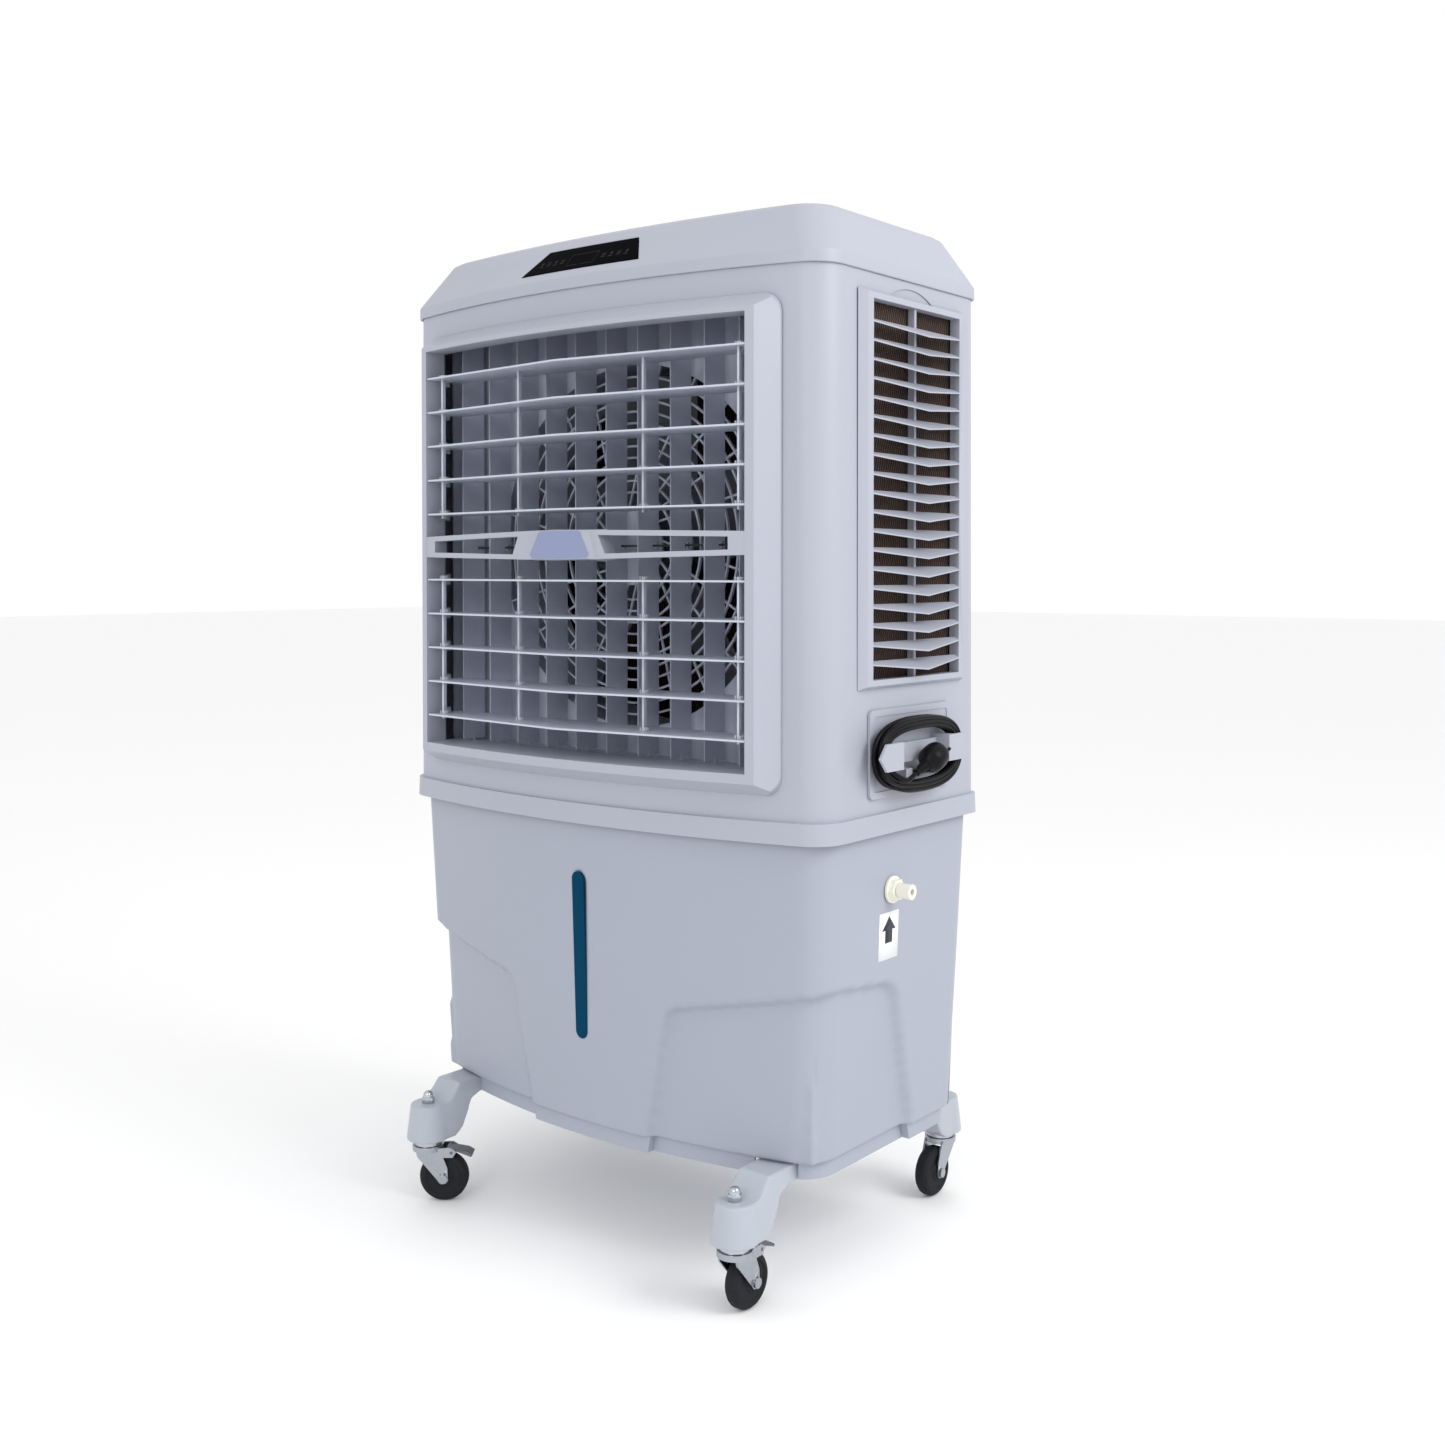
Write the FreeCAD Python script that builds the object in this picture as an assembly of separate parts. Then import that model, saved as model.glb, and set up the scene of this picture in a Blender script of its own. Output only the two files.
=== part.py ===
"""Portable evaporative air cooler on four casters: a water tank below, a fan and wet pads above.

Millimetres. +Z is up, the air blows out towards -Y, and the origin lies on the floor under the
middle of the cabinet. Every separate piece is written to parts/NODE.step.
"""
import FreeCAD, Part
import math
import os

Vec = FreeCAD.Vector

# ---------------------------------------------------------------- driving dimensions
CASE_WIDTH = 810.0        # across the lip at the foot of the casing
CASE_DEPTH = 407.0        # front corner to rear corner
FRONT_BOW = 55.0          # how far the middle of the front stands ahead of its corners
CORNER_R = 50.0           # front corners, in plan
REAR_CORNER_R = 28.0
WALL = 3.0                # moulded plastic walls
FIT = 0.4                 # gap between mouldings that go together
PIN_PLAY = 0.05           # radial play of a pin in its hole

TANK_BOTTOM = 178.0
LIP_BOTTOM = 613.0
LIP_HEIGHT = 29.0
CASE_TOP = 1369.0         # the seam under the cap
CAP_BAND = 17.0           # upright band of the cap
CAP_RISE = 72.0           # sloped part of the cap
CAP_INSET = 41.0          # how far the cap's top edge stands in from the band
CAP_TOP_BOW = 28.0
CAP_OVERHANG = 3.5
LIP_STEP = 5.0            # casing wall stands in from the lip
CASE_DRAFT = 1.7          # and this much more at the seam

OPEN_HALF_W = 309.0       # louvre opening
OPEN_BOTTOM = 706.0
OPEN_TOP = 1306.0
BEZEL_PROUD = 32.0        # bezel ahead of the casing's face
BEZEL_STRIP = 13.0        # flat strip round the opening
BEZEL_FLARE = 18.0        # sloped flange outside the strip
BEZEL_CORNER_R = 26.0
BEARING_HALF = 8.0        # lugs on the side walls that carry the slats' pins: half height
BEARING_BACK = 10.0       # and how far they reach behind the pins

SLATS_PER_HALF = 5
SLAT_FIRST = 50.0         # rail's middle line to the nearest slat
SLAT_LAST = 42.0          # last slat to the opening's edge
SLAT_THICK = 2.6
SLAT_PIVOT_SET = 11.5     # pivots ahead of the cabinet's front corners
SLAT_TAIL = 28.0          # blade behind its pivot
SLAT_PIN_R = 2.5
SLAT_END_GAP = 1.5
SLAT_SET_BACK = 2.0       # front edge behind the bezel's face
SLAT_VEE = 36.0           # middle of the front edge ahead of its ends
SLAT_KINK_R = 60.0
SLAT_LINK_X = 122.0       # inner link rods
SLAT_LINK_EDGE = 21.0     # outer link rods from the opening's side
SLAT_LINK_ARM = 22.0      # link pins ahead of the pivots
SLAT_LINK_W = 6.0
SLAT_LINK_T = 3.6
LINK_PIN_R = 1.5

RAIL_HEIGHT = 31.0        # middle rail at its ends
RAIL_RISE = 0.5           # rail's middle line above the opening's
RAIL_SWELL = 6.0          # extra at the middle, up and down
RAIL_BAR = 7.0
RAIL_DEEP = 24.0
RAIL_SLOT_END = 24.0      # solid end of the rail beyond each slot
BADGE_X = 12.0
BADGE_HALF_LOW = 58.0
BADGE_HALF_HIGH = 44.0
BADGE_PROUD = 6.0
BADGE_FLARE = 20.0        # boss wider at its root than at its face

FIN_COUNT = 11
FIN_EDGE = 3.0            # first and last fin from the opening's sides
FIN_CHORD = 46.0
FIN_SLAT_GAP = 5.0        # slats' tails to the fins
FIN_THICK = 2.2
FIN_END_GAP = 4.0
FIN_PIN_R = 2.0
FIN_CRANK = 14.0
FIN_BAR_T = 3.0
FIN_BAR_W = 7.0
FIN_SLOT_SLACK = 2.0      # slot in each fin beyond the bar, fore and aft
FIN_SLOT_HALF_H = 4.0

FAN_Z = 1007.0
GUARD_FIN_GAP = 11.0      # fins' tails to the guard
GUARD_R = 268.0
GUARD_HUB_R = 58.0
GUARD_RING_PITCH = 17.0
GUARD_RING_W = 3.0
GUARD_RING_DEEP = 4.0
GUARD_SPOKES = 24
GUARD_SPOKE_LEAN = 24.0   # degrees off the radius
GUARD_BEYOND = 36.0       # baffle beyond the opening's sides
LEDGE_ABOVE = 30.0        # upper fin ledge above the opening
LEDGE_BELOW = 6.0
SHROUD_LENGTH = 118.0
FAN_TIP_GAP = 12.0
FAN_HUB_R = 62.0
FAN_BLADES = 5
FAN_GUARD_GAP = 20.0
FAN_DEEP = 66.0
SHAFT_R = 6.0
MOTOR_R = 64.0
MOTOR_LENGTH = 90.0
BRACKET_BAR_H = 24.0
BRACKET_BAR_GAP = 80.0
BRACKET_T = 3.0

SIDE_COVER_MID = 9.0      # middle of the side covers along Y
SIDE_COVER_W = 272.0
SIDE_COVER_BOTTOM = 811.0
SIDE_COVER_TOP = 1345.0
SIDE_SLATS = 19
REAR_COVER_W = 640.0
REAR_COVER_BOTTOM = 690.0
REAR_SLATS = 24
COVER_PROUD = 10.0
COVER_BORDER = 23.0       # cover edge to its window, at the sides
COVER_BORDER_LOW = 13.0
COVER_BORDER_HIGH = 13.0
COVER_SLAT_T = 2.0
COVER_SLAT_END = 7.0
COVER_SLAT_MID = 25.0
COVER_SLAT_DROP = 0.55    # fall per millimetre outwards
COVER_POST = 5.0
GRIP_WIDTH = 110.0        # finger scoop above each side cover
GRIP_HEIGHT = 14.0
PAD_THICK = 44.0

RECESS_DEEP = 12.0        # sunk front corners of the tank
TANK_TAPER_X = 17.0
TANK_TAPER_Y = 17.0
TANK_RIM_INSET = 12.0     # tank's rim inside the casing's lip
WINDOW_BOTTOM = 299.0
WINDOW_TOP = 541.0
WINDOW_WIDTH = 22.0
INLET_Y = -24.0
INLET_Z = 530.0
SPOUT_R = 10.5
SPOUT_LENGTH = 22.0
BASE_HEIGHT = 24.0
BASE_INSET = 7.0

LEG_INSET_X = 105.0       # caster axes inside the cabinet's sides
LEG_REACH_Y = 58.5        # and ahead of or behind its corners
LEG_HALF_W = 30.0
LEG_TOE_R = 33.0
LEG_DRAFT = 9.0           # the arm narrows by this towards its top
LEG_TOE_LOW = 96.0
LEG_TOE_HIGH = 150.0
STEM_R = 5.0
NUT_ACROSS = 17.0
NUT_HEX_H = 9.0
NUT_DOME_H = 10.0
WHEEL_R = 37.5
WHEEL_W = 24.0
AXLE_R = 4.0
TRAIL = 25.0
FORK_T = 2.5
FORK_GAP = 1.5
RACE_R = 24.0
RACE_H = 9.0
RACE_PLAY = 0.4
PEDAL_W = 26.0

PLATE_MID_Y = 3.0
PLATE_W = 210.0
PLATE_BOTTOM = 663.0
PLATE_H = 120.0
PLATE_T = 4.0
CLEAT_Z = 722.0
CLEAT_H = 37.0
CLEAT_MID_Y = -5.0
CLEAT_POST_HALF = 60.0    # inner faces of the posts from the middle
CLEAT_POST_W = 18.0
CLEAT_BAR_PROUD = 9.0
CLEAT_TIP_HALF = 117.0
CLEAT_HEIGHT = 30.0
CLEAT_T = 4.0
CORD_D = 7.0
COIL_HALF_W = 117.0
COIL_HALF_H = 55.0
COIL_BAND = 24.0
COIL_Z = 720.0
COIL_DEEP = 15.0

# ---------------------------------------------------------------- worked-out places
LIP_TOP = LIP_BOTTOM + LIP_HEIGHT
HALF_W = CASE_WIDTH / 2
HALF_D = CASE_DEPTH / 2
CAP_TOP = CASE_TOP + CAP_BAND + CAP_RISE
CASE_HALF = HALF_W - LIP_STEP
SEAM_HALF = CASE_HALF - CASE_DRAFT
CASE_RIM = CASE_TOP + 6.0
RAIL_MID = (OPEN_BOTTOM + OPEN_TOP) / 2 + RAIL_RISE
RAIL_BOTTOM = RAIL_MID - RAIL_HEIGHT / 2
RAIL_TOP = RAIL_MID + RAIL_HEIGHT / 2
SLAT_PITCH = ((OPEN_TOP - OPEN_BOTTOM) / 2 - SLAT_FIRST - SLAT_LAST) / (SLATS_PER_HALF - 1)
SLAT_PIVOT_Y = -HALF_D - SLAT_PIVOT_SET
SLAT_BACK = SLAT_PIVOT_Y + SLAT_TAIL
SLAT_LINK_Y = SLAT_PIVOT_Y - SLAT_LINK_ARM
SLAT_LINK_PLACES = [SLAT_LINK_X, OPEN_HALF_W - SLAT_LINK_EDGE]
FIN_PITCH = 2 * (OPEN_HALF_W - FIN_EDGE) / (FIN_COUNT - 1)
FIN_FRONT = SLAT_BACK + FIN_SLAT_GAP
FIN_PIVOT_Y = FIN_FRONT + FIN_CHORD / 2
GUARD_FRONT = FIN_FRONT + FIN_CHORD + GUARD_FIN_GAP
GUARD_HALF_W = OPEN_HALF_W + GUARD_BEYOND
FAN_R = GUARD_R - FAN_TIP_GAP
FAN_FRONT = GUARD_FRONT + FAN_GUARD_GAP
LEDGE_LOW = OPEN_BOTTOM - LEDGE_BELOW
LEDGE_HIGH = OPEN_TOP + LEDGE_ABOVE
TANK_TOP_HALF = HALF_W - TANK_RIM_INSET
LEG_X = HALF_W - LEG_INSET_X
LEG_Y = HALF_D + LEG_REACH_Y
SIDE_FACE = CASE_HALF + FIT          # plane the side covers and cord plate sit on
REAR_FACE = HALF_D - LIP_STEP + FIT
REAR_COVER_TOP = SIDE_COVER_TOP

NODES = {}


# ---------------------------------------------------------------- small helpers
def box(x0, x1, y0, y1, z0, z1):
    return Part.makeBox(x1 - x0, y1 - y0, z1 - z0, Vec(x0, y0, z0))


def rod(start, end, radius):
    start, end = Vec(*start), Vec(*end)
    return Part.makeCylinder(radius, (end - start).Length, start, end - start)


def tube(start, end, outer, inner):
    return rod(start, end, outer).cut(rod(start, end, inner))


def prism(points, along):
    """Solid from a flat closed polygon of 3-D points, pushed along a vector."""
    wire = Part.makePolygon([Vec(*p) for p in points] + [Vec(*points[0])])
    return Part.Face(wire).extrude(Vec(*along))


def prism_xz(points, y0, y1):
    return prism([(x, y0, z) for x, z in points], (0, y1 - y0, 0))


def prism_yz(points, x0, x1):
    return prism([(x0, y, z) for y, z in points], (x1 - x0, 0, 0))


def prism_xy(points, z0, z1):
    return prism([(x, y, z0) for x, y in points], (0, 0, z1 - z0))


def fuse(shapes):
    return shapes[0].multiFuse(shapes[1:]).removeSplitter()


def mirror_x(shape):
    return shape.mirror(Vec(0, 0, 0), Vec(1, 0, 0))


def turned(shape, angle, centre=(0, 0, 0), axis=(0, 0, 1)):
    copy = shape.copy()
    copy.rotate(Vec(*centre), Vec(*axis), angle)
    return copy


def moved(shape, x=0.0, y=0.0, z=0.0):
    copy = shape.copy()
    copy.translate(Vec(x, y, z))
    return copy


def rounded_rect_xz(x0, x1, z0, z1, radius, y0, y1):
    """Plate with rounded corners in the XZ plane, pushed from y0 to y1."""
    plate = box(x0, x1, y0, y1, z0, z1)
    upright = [e for e in plate.Edges if abs(e.Vertexes[0].Y - e.Vertexes[1].Y) > 1e-6]
    return plate.makeFillet(radius, upright)


def rounded_rect_yz(y0, y1, z0, z1, radius, x0, x1):
    return turned(rounded_rect_xz(y0, y1, z0, z1, radius, -x1, -x0), 90)


def outline(half_w, front, back, bow, corner, rear_corner, z):
    """Plan outline: straight sides and back, a bowed front and rounded corners."""
    bow_r = (half_w ** 2 + bow ** 2) / (2 * bow)
    centre_y = front - bow + bow_r
    corner_y = centre_y - math.sqrt((bow_r - corner) ** 2 - (half_w - corner) ** 2)
    reach = bow_r / (bow_r - corner)
    tangent = Vec((half_w - corner) * reach, centre_y + (corner_y - centre_y) * reach, z)
    corner_c = Vec(half_w - corner, corner_y, z)
    half_way = (tangent - corner_c).normalize() + Vec(1, 0, 0)
    corner_mid = corner_c + half_way.normalize() * corner
    diagonal = rear_corner * math.sqrt(0.5)
    rear_mid = Vec(half_w - rear_corner + diagonal, back - rear_corner + diagonal, z)

    def left(p):
        return Vec(-p.x, p.y, p.z)

    side_low, side_high = Vec(half_w, corner_y, z), Vec(half_w, back - rear_corner, z)
    back_end = Vec(half_w - rear_corner, back, z)
    return Part.Wire([
        Part.Arc(left(tangent), Vec(0, front - bow, z), tangent).toShape(),
        Part.Arc(tangent, corner_mid, side_low).toShape(),
        Part.LineSegment(side_low, side_high).toShape(),
        Part.Arc(side_high, rear_mid, back_end).toShape(),
        Part.LineSegment(back_end, left(back_end)).toShape(),
        Part.Arc(left(back_end), left(rear_mid), left(side_high)).toShape(),
        Part.LineSegment(left(side_high), left(side_low)).toShape(),
        Part.Arc(left(side_low), left(corner_mid), left(tangent)).toShape(),
    ])


def case_outline(half_w, z, bow=FRONT_BOW, extra_y=0.0):
    """The cabinet's outline, set in on every side by what half_w is under the lip's."""
    inset = HALF_W - half_w
    return outline(half_w, -HALF_D + inset + extra_y, HALF_D - inset - extra_y, bow,
                   CORNER_R, REAR_CORNER_R, z)


def loft(*wires):
    return Part.makeLoft(list(wires), True, True)


def front_axis(face_inset=0.0):
    """Centre (y) and radius of the casing's bowed front, set in by face_inset."""
    half_w = CASE_HALF - face_inset
    radius = (half_w ** 2 + FRONT_BOW ** 2) / (2 * FRONT_BOW)
    front = -HALF_D + LIP_STEP + face_inset
    return front - FRONT_BOW + radius, radius


def front_y(x, proud=0.0):
    """Y of the casing's bowed front at x, or of a face that stands proud of it."""
    centre, radius = front_axis()
    return centre - math.sqrt((radius + proud) ** 2 - x ** 2)


# ---------------------------------------------------------------- casing and cap
def make_casing():
    lip = loft(case_outline(HALF_W, LIP_BOTTOM), case_outline(HALF_W - 0.8, LIP_TOP))
    wall = loft(case_outline(CASE_HALF, LIP_TOP - 1), case_outline(SEAM_HALF, CASE_RIM))
    shell = lip.fuse(wall)
    ledge = LIP_TOP - WALL
    low_hollow = loft(case_outline(HALF_W - WALL, LIP_BOTTOM - 1), case_outline(HALF_W - WALL, ledge))
    high_hollow = loft(case_outline(CASE_HALF - WALL, ledge - 1),
                       case_outline(SEAM_HALF - WALL, CASE_RIM + 1))
    shell = shell.cut(low_hollow).cut(high_hollow)
    half = OPEN_HALF_W + WALL + FIT
    shell = shell.cut(box(-half, half, -2 * HALF_D, -HALF_D / 2, OPEN_BOTTOM - WALL - FIT,
                          OPEN_TOP + WALL + FIT))
    window = side_window(FIT)
    shell = shell.cut(window).cut(mirror_x(window))
    shell = shell.cut(rear_window(FIT))
    scoop = grip_scoop()
    return shell.cut(scoop).cut(mirror_x(scoop))


def side_window(grow):
    """What the right side cover's insert fills in the casing wall."""
    half = SIDE_COVER_W / 2 - COVER_BORDER + WALL + grow
    return box(CASE_HALF - 6 * WALL, CASE_HALF + WALL, SIDE_COVER_MID - half, SIDE_COVER_MID + half,
               SIDE_COVER_BOTTOM + COVER_BORDER_LOW - WALL - grow,
               SIDE_COVER_TOP - COVER_BORDER_HIGH + WALL + grow)


def rear_window(grow):
    half = REAR_COVER_W / 2 - COVER_BORDER + WALL + grow
    return box(-half, half, HALF_D - 6 * WALL, HALF_D + WALL,
               REAR_COVER_BOTTOM + COVER_BORDER_LOW - WALL - grow,
               REAR_COVER_TOP - COVER_BORDER_HIGH + WALL + grow)


def grip_scoop():
    """Finger hollow in the casing wall just above the right side cover."""
    radius = (GRIP_WIDTH ** 2 / 4 + GRIP_HEIGHT ** 2) / (2 * GRIP_HEIGHT)
    centre_z = SIDE_COVER_TOP + GRIP_HEIGHT - radius
    disc = rod((SEAM_HALF - 0.6 * WALL, SIDE_COVER_MID, centre_z),
               (CASE_HALF + WALL, SIDE_COVER_MID, centre_z), radius)
    above = box(0, HALF_W, -HALF_D, HALF_D, SIDE_COVER_TOP - COVER_BORDER_HIGH / 3, CASE_TOP)
    return disc.common(above)


def cap_solid(inset):
    """The cap's outer shape, or with an inset its hollow."""
    half = SEAM_HALF + CAP_OVERHANG - inset
    top_half = half - CAP_INSET
    edge = 6.0
    band_top = CASE_TOP + CAP_BAND
    band = loft(case_outline(half, CASE_TOP), case_outline(half, band_top))
    slope_y = CAP_INSET - edge
    part_way = 1 - edge / CAP_RISE
    bow_high = FRONT_BOW + (CAP_TOP_BOW - FRONT_BOW) * part_way
    slope = loft(case_outline(half, band_top),
                 case_outline(half - slope_y, CAP_TOP - edge - inset, bow_high))
    crown = loft(case_outline(half - slope_y, CAP_TOP - edge - inset, bow_high),
                 case_outline(top_half - edge / 2, CAP_TOP - inset, CAP_TOP_BOW))
    return fuse([band, slope, crown])


def panel_prism(grow):
    """Front view of the control panel: a low trapezium on the cap's slope."""
    low_z, high_z = CASE_TOP + CAP_BAND + 13.0, CASE_TOP + CAP_BAND + 51.0
    low, high = 114.0 + grow, 86.0 + grow
    return prism_xz([(-low, low_z - grow), (low, low_z - grow), (high, high_z + grow),
                     (-high, high_z + grow)], -2 * HALF_D, -HALF_D / 2)


def make_cap():
    shell = cap_solid(0.0)
    hollow = cap_solid(WALL + 0.2)
    above_rim = box(-HALF_W, HALF_W, -2 * HALF_D, HALF_D, CASE_RIM, CAP_TOP)
    socket = loft(case_outline(SEAM_HALF + FIT, CASE_TOP - 1), case_outline(SEAM_HALF + FIT, CASE_RIM))
    ledge_hollow = loft(case_outline(SEAM_HALF - WALL, CASE_RIM - 1),
                        case_outline(SEAM_HALF - WALL, CASE_TOP + CAP_BAND))
    shell = shell.cut(hollow.common(above_rim).common(
        loft(case_outline(SEAM_HALF - WALL, CASE_RIM - 1), case_outline(SEAM_HALF - WALL, CAP_TOP))))
    shell = shell.cut(socket).cut(ledge_hollow)
    pocket = panel_prism(FIT).cut(cap_solid(1.6))
    return shell.cut(pocket)


def make_control_panel():
    return panel_prism(0.0).common(cap_solid(-0.6)).cut(cap_solid(1.4))


# ---------------------------------------------------------------- louvre frame
def arc_band(proud_low, proud_high, z0, z1):
    """Everything between two faces parallel to the bowed front."""
    centre, radius = front_axis()
    return tube((0, centre, z0), (0, centre, z1), radius + proud_high, radius + proud_low)


def bezel_body(inset):
    """The bezel's sloped outer shape; with an inset, its hollow."""
    centre, radius = front_axis()
    face = radius + BEZEL_PROUD - inset
    base = radius + 0.3 if inset == 0 else radius - 12.0
    slope = BEZEL_FLARE / BEZEL_PROUD
    low_face = OPEN_BOTTOM - BEZEL_STRIP + inset
    high_face = OPEN_TOP + BEZEL_STRIP / 2 + inset * 0 - inset
    fall = slope * (face - base)
    profile = [(0, centre - face, low_face), (0, centre - face, high_face),
               (0, centre - base, high_face + fall + 3), (0, centre - base, low_face - fall)]
    wire = Part.makePolygon([Vec(*p) for p in profile + profile[:1]])
    half_turn = 14.0
    ring = Part.Face(wire)
    ring.rotate(Vec(0, centre, 0), Vec(0, 0, 1), -half_turn)
    ring = ring.revolve(Vec(0, centre, 0), Vec(0, 0, 1), 2 * half_turn)
    half_face = OPEN_HALF_W + BEZEL_STRIP - inset
    y_face = front_y(half_face, BEZEL_PROUD)
    back, ahead = -HALF_D / 2, 60.0
    at_back, at_front = half_face + slope * (back - y_face), half_face - slope * ahead
    sides = prism_xy([(-at_back, back), (at_back, back), (at_front, y_face - ahead),
                      (-at_front, y_face - ahead)], OPEN_BOTTOM - 90, OPEN_TOP + 90)
    body = ring.common(sides)
    outer_half = OPEN_HALF_W + BEZEL_STRIP + BEZEL_FLARE - inset
    rounded = rounded_rect_xz(-outer_half, outer_half, OPEN_BOTTOM - BEZEL_STRIP - BEZEL_FLARE + inset,
                              OPEN_TOP + BEZEL_STRIP / 2 + BEZEL_FLARE + 3 - inset, BEZEL_CORNER_R,
                              -2 * HALF_D, back)
    return body.common(rounded)


def rail_solid():
    """The rail across the middle of the opening, with its two long slots and the badge boss."""
    half = OPEN_HALF_W + 1.0
    outer = [(-half, RAIL_BOTTOM), (0, RAIL_BOTTOM - RAIL_SWELL), (half, RAIL_BOTTOM),
             (half, RAIL_TOP), (0, RAIL_TOP + RAIL_SWELL), (-half, RAIL_TOP)]
    near, far = BADGE_X + BADGE_HALF_LOW + BADGE_FLARE, OPEN_HALF_W - RAIL_SLOT_END
    swell = RAIL_SWELL * (1 - near / half)
    slot = [(near, RAIL_BOTTOM + RAIL_BAR - swell), (far, RAIL_BOTTOM + RAIL_BAR),
            (far, RAIL_TOP - RAIL_BAR), (near - 12.0, RAIL_TOP - RAIL_BAR + swell)]
    deep = -2 * HALF_D
    rail = prism_xz(outer, deep, -HALF_D / 2).common(
        arc_band(BEZEL_PROUD - RAIL_DEEP, BEZEL_PROUD - 0.5, RAIL_BOTTOM - 20, RAIL_TOP + 20))
    for side in (1, -1):
        rail = rail.cut(prism_xz([(side * x, z) for x, z in slot], deep, -HALF_D / 2))
    return rail.fuse(badge_boss())


def badge_boss():
    """Boss with sloping sides and a flat face for the plaque."""
    low, high = RAIL_BOTTOM - RAIL_SWELL, RAIL_TOP + RAIL_SWELL

    def trapezium(y, wider, shrink):
        a, b = BADGE_HALF_LOW + wider, BADGE_HALF_HIGH + wider
        corners = [(-a, low + shrink), (a, low + shrink), (b, high - shrink), (-b, high - shrink)]
        return Part.makePolygon([Vec(BADGE_X + x, y, z) for x, z in corners + corners[:1]])

    face_y = front_y(0, BEZEL_PROUD + BADGE_PROUD)
    root_y = front_y(0, BEZEL_PROUD - RAIL_DEEP)
    return loft(trapezium(face_y, 0.0, 1.5), trapezium(root_y, BADGE_FLARE, 0.0))


def slat_heights():
    """Slat axes, top to bottom."""
    first = RAIL_MID + SLAT_FIRST
    upper = [first + SLAT_PITCH * i for i in range(SLATS_PER_HALF)][::-1]
    return upper + [2 * RAIL_MID - z for z in upper[::-1]]


def bearing_lugs():
    """Where the opening's side walls reach back to carry the slats' pins."""
    half = OPEN_HALF_W + 2 * WALL
    return fuse([box(-half, half, -2 * HALF_D, SLAT_PIVOT_Y + BEARING_BACK, z - BEARING_HALF, z + BEARING_HALF)
                 for z in slat_heights()])


def make_louvre_frame():
    shell = bezel_body(0.0).cut(bezel_body(WALL))
    liner = box(-OPEN_HALF_W - WALL, OPEN_HALF_W + WALL, -2 * HALF_D, SLAT_BACK,
                OPEN_BOTTOM - WALL, OPEN_TOP + WALL)
    liner = liner.common(arc_band(-200.0, BEZEL_PROUD - 0.5, OPEN_BOTTOM - 20, OPEN_TOP + 20))
    liner = liner.cut(arc_band(-200.0, -WALL - 2.0, OPEN_BOTTOM, OPEN_TOP + 2 * WALL).cut(bearing_lugs()))
    opening = box(-OPEN_HALF_W, OPEN_HALF_W, -2 * HALF_D, 0, OPEN_BOTTOM, OPEN_TOP)
    frame = shell.fuse(liner).cut(opening).fuse(rail_solid())
    for z in slat_heights():
        frame = frame.cut(rod((-OPEN_HALF_W - 2 * WALL, SLAT_PIVOT_Y, z),
                              (OPEN_HALF_W + 2 * WALL, SLAT_PIVOT_Y, z), SLAT_PIN_R + PIN_PLAY)
                          .cut(box(-OPEN_HALF_W, OPEN_HALF_W, -HALF_D * 2, 0, z - 9, z + 9)))
    return frame.removeSplitter()


# ---------------------------------------------------------------- slats and their links
def make_slat(z):
    half = OPEN_HALF_W - SLAT_END_GAP
    end_y = front_y(half, BEZEL_PROUD) + SLAT_SET_BACK
    tip_y = end_y - SLAT_VEE
    blade = prism_xy([(-half, SLAT_BACK), (half, SLAT_BACK), (half, end_y), (0, tip_y), (-half, end_y)],
                     z - SLAT_THICK / 2, z + SLAT_THICK / 2)
    tip = [e for e in blade.Edges
           if abs(e.Vertexes[0].X) < 1e-6 and abs(e.Vertexes[1].X) < 1e-6]
    blade = blade.makeFillet(SLAT_KINK_R, tip)
    for side in (-1, 1):
        end = side * (OPEN_HALF_W + WALL - 0.3)
        blade = blade.fuse(rod((side * (half - 6), SLAT_PIVOT_Y, z), (end, SLAT_PIVOT_Y, z), SLAT_PIN_R))
    slot = SLAT_LINK_T / 2 + 0.5
    for x in link_places():
        blade = blade.cut(box(x - slot, x + slot, SLAT_LINK_Y - SLAT_LINK_W + 0.5,
                              SLAT_LINK_Y + SLAT_LINK_W - 0.5, z - SLAT_THICK, z + SLAT_THICK))
        blade = blade.fuse(rod((x - slot - 1, SLAT_LINK_Y, z), (x + slot + 1, SLAT_LINK_Y, z),
                               LINK_PIN_R - 0.3))
    return blade.removeSplitter()


def link_places():
    return [side * x for side in (-1, 1) for x in SLAT_LINK_PLACES]


def make_slat_link(heights):
    rods = []
    low, high = min(heights) - 6.0, max(heights) + 6.0
    for x in link_places():
        link = box(x - SLAT_LINK_T / 2, x + SLAT_LINK_T / 2, SLAT_LINK_Y - SLAT_LINK_W / 2,
                   SLAT_LINK_Y + SLAT_LINK_W / 2, low, high)
        for z in heights:
            link = link.cut(rod((x - 5, SLAT_LINK_Y, z), (x + 5, SLAT_LINK_Y, z),
                                LINK_PIN_R - 0.3 + PIN_PLAY))
        rods.append(link)
    return Part.makeCompound(rods)


# ---------------------------------------------------------------- swinging fins
def fin_places():
    first = -FIN_PITCH * (FIN_COUNT - 1) / 2
    return [first + FIN_PITCH * i for i in range(FIN_COUNT)]


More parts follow.
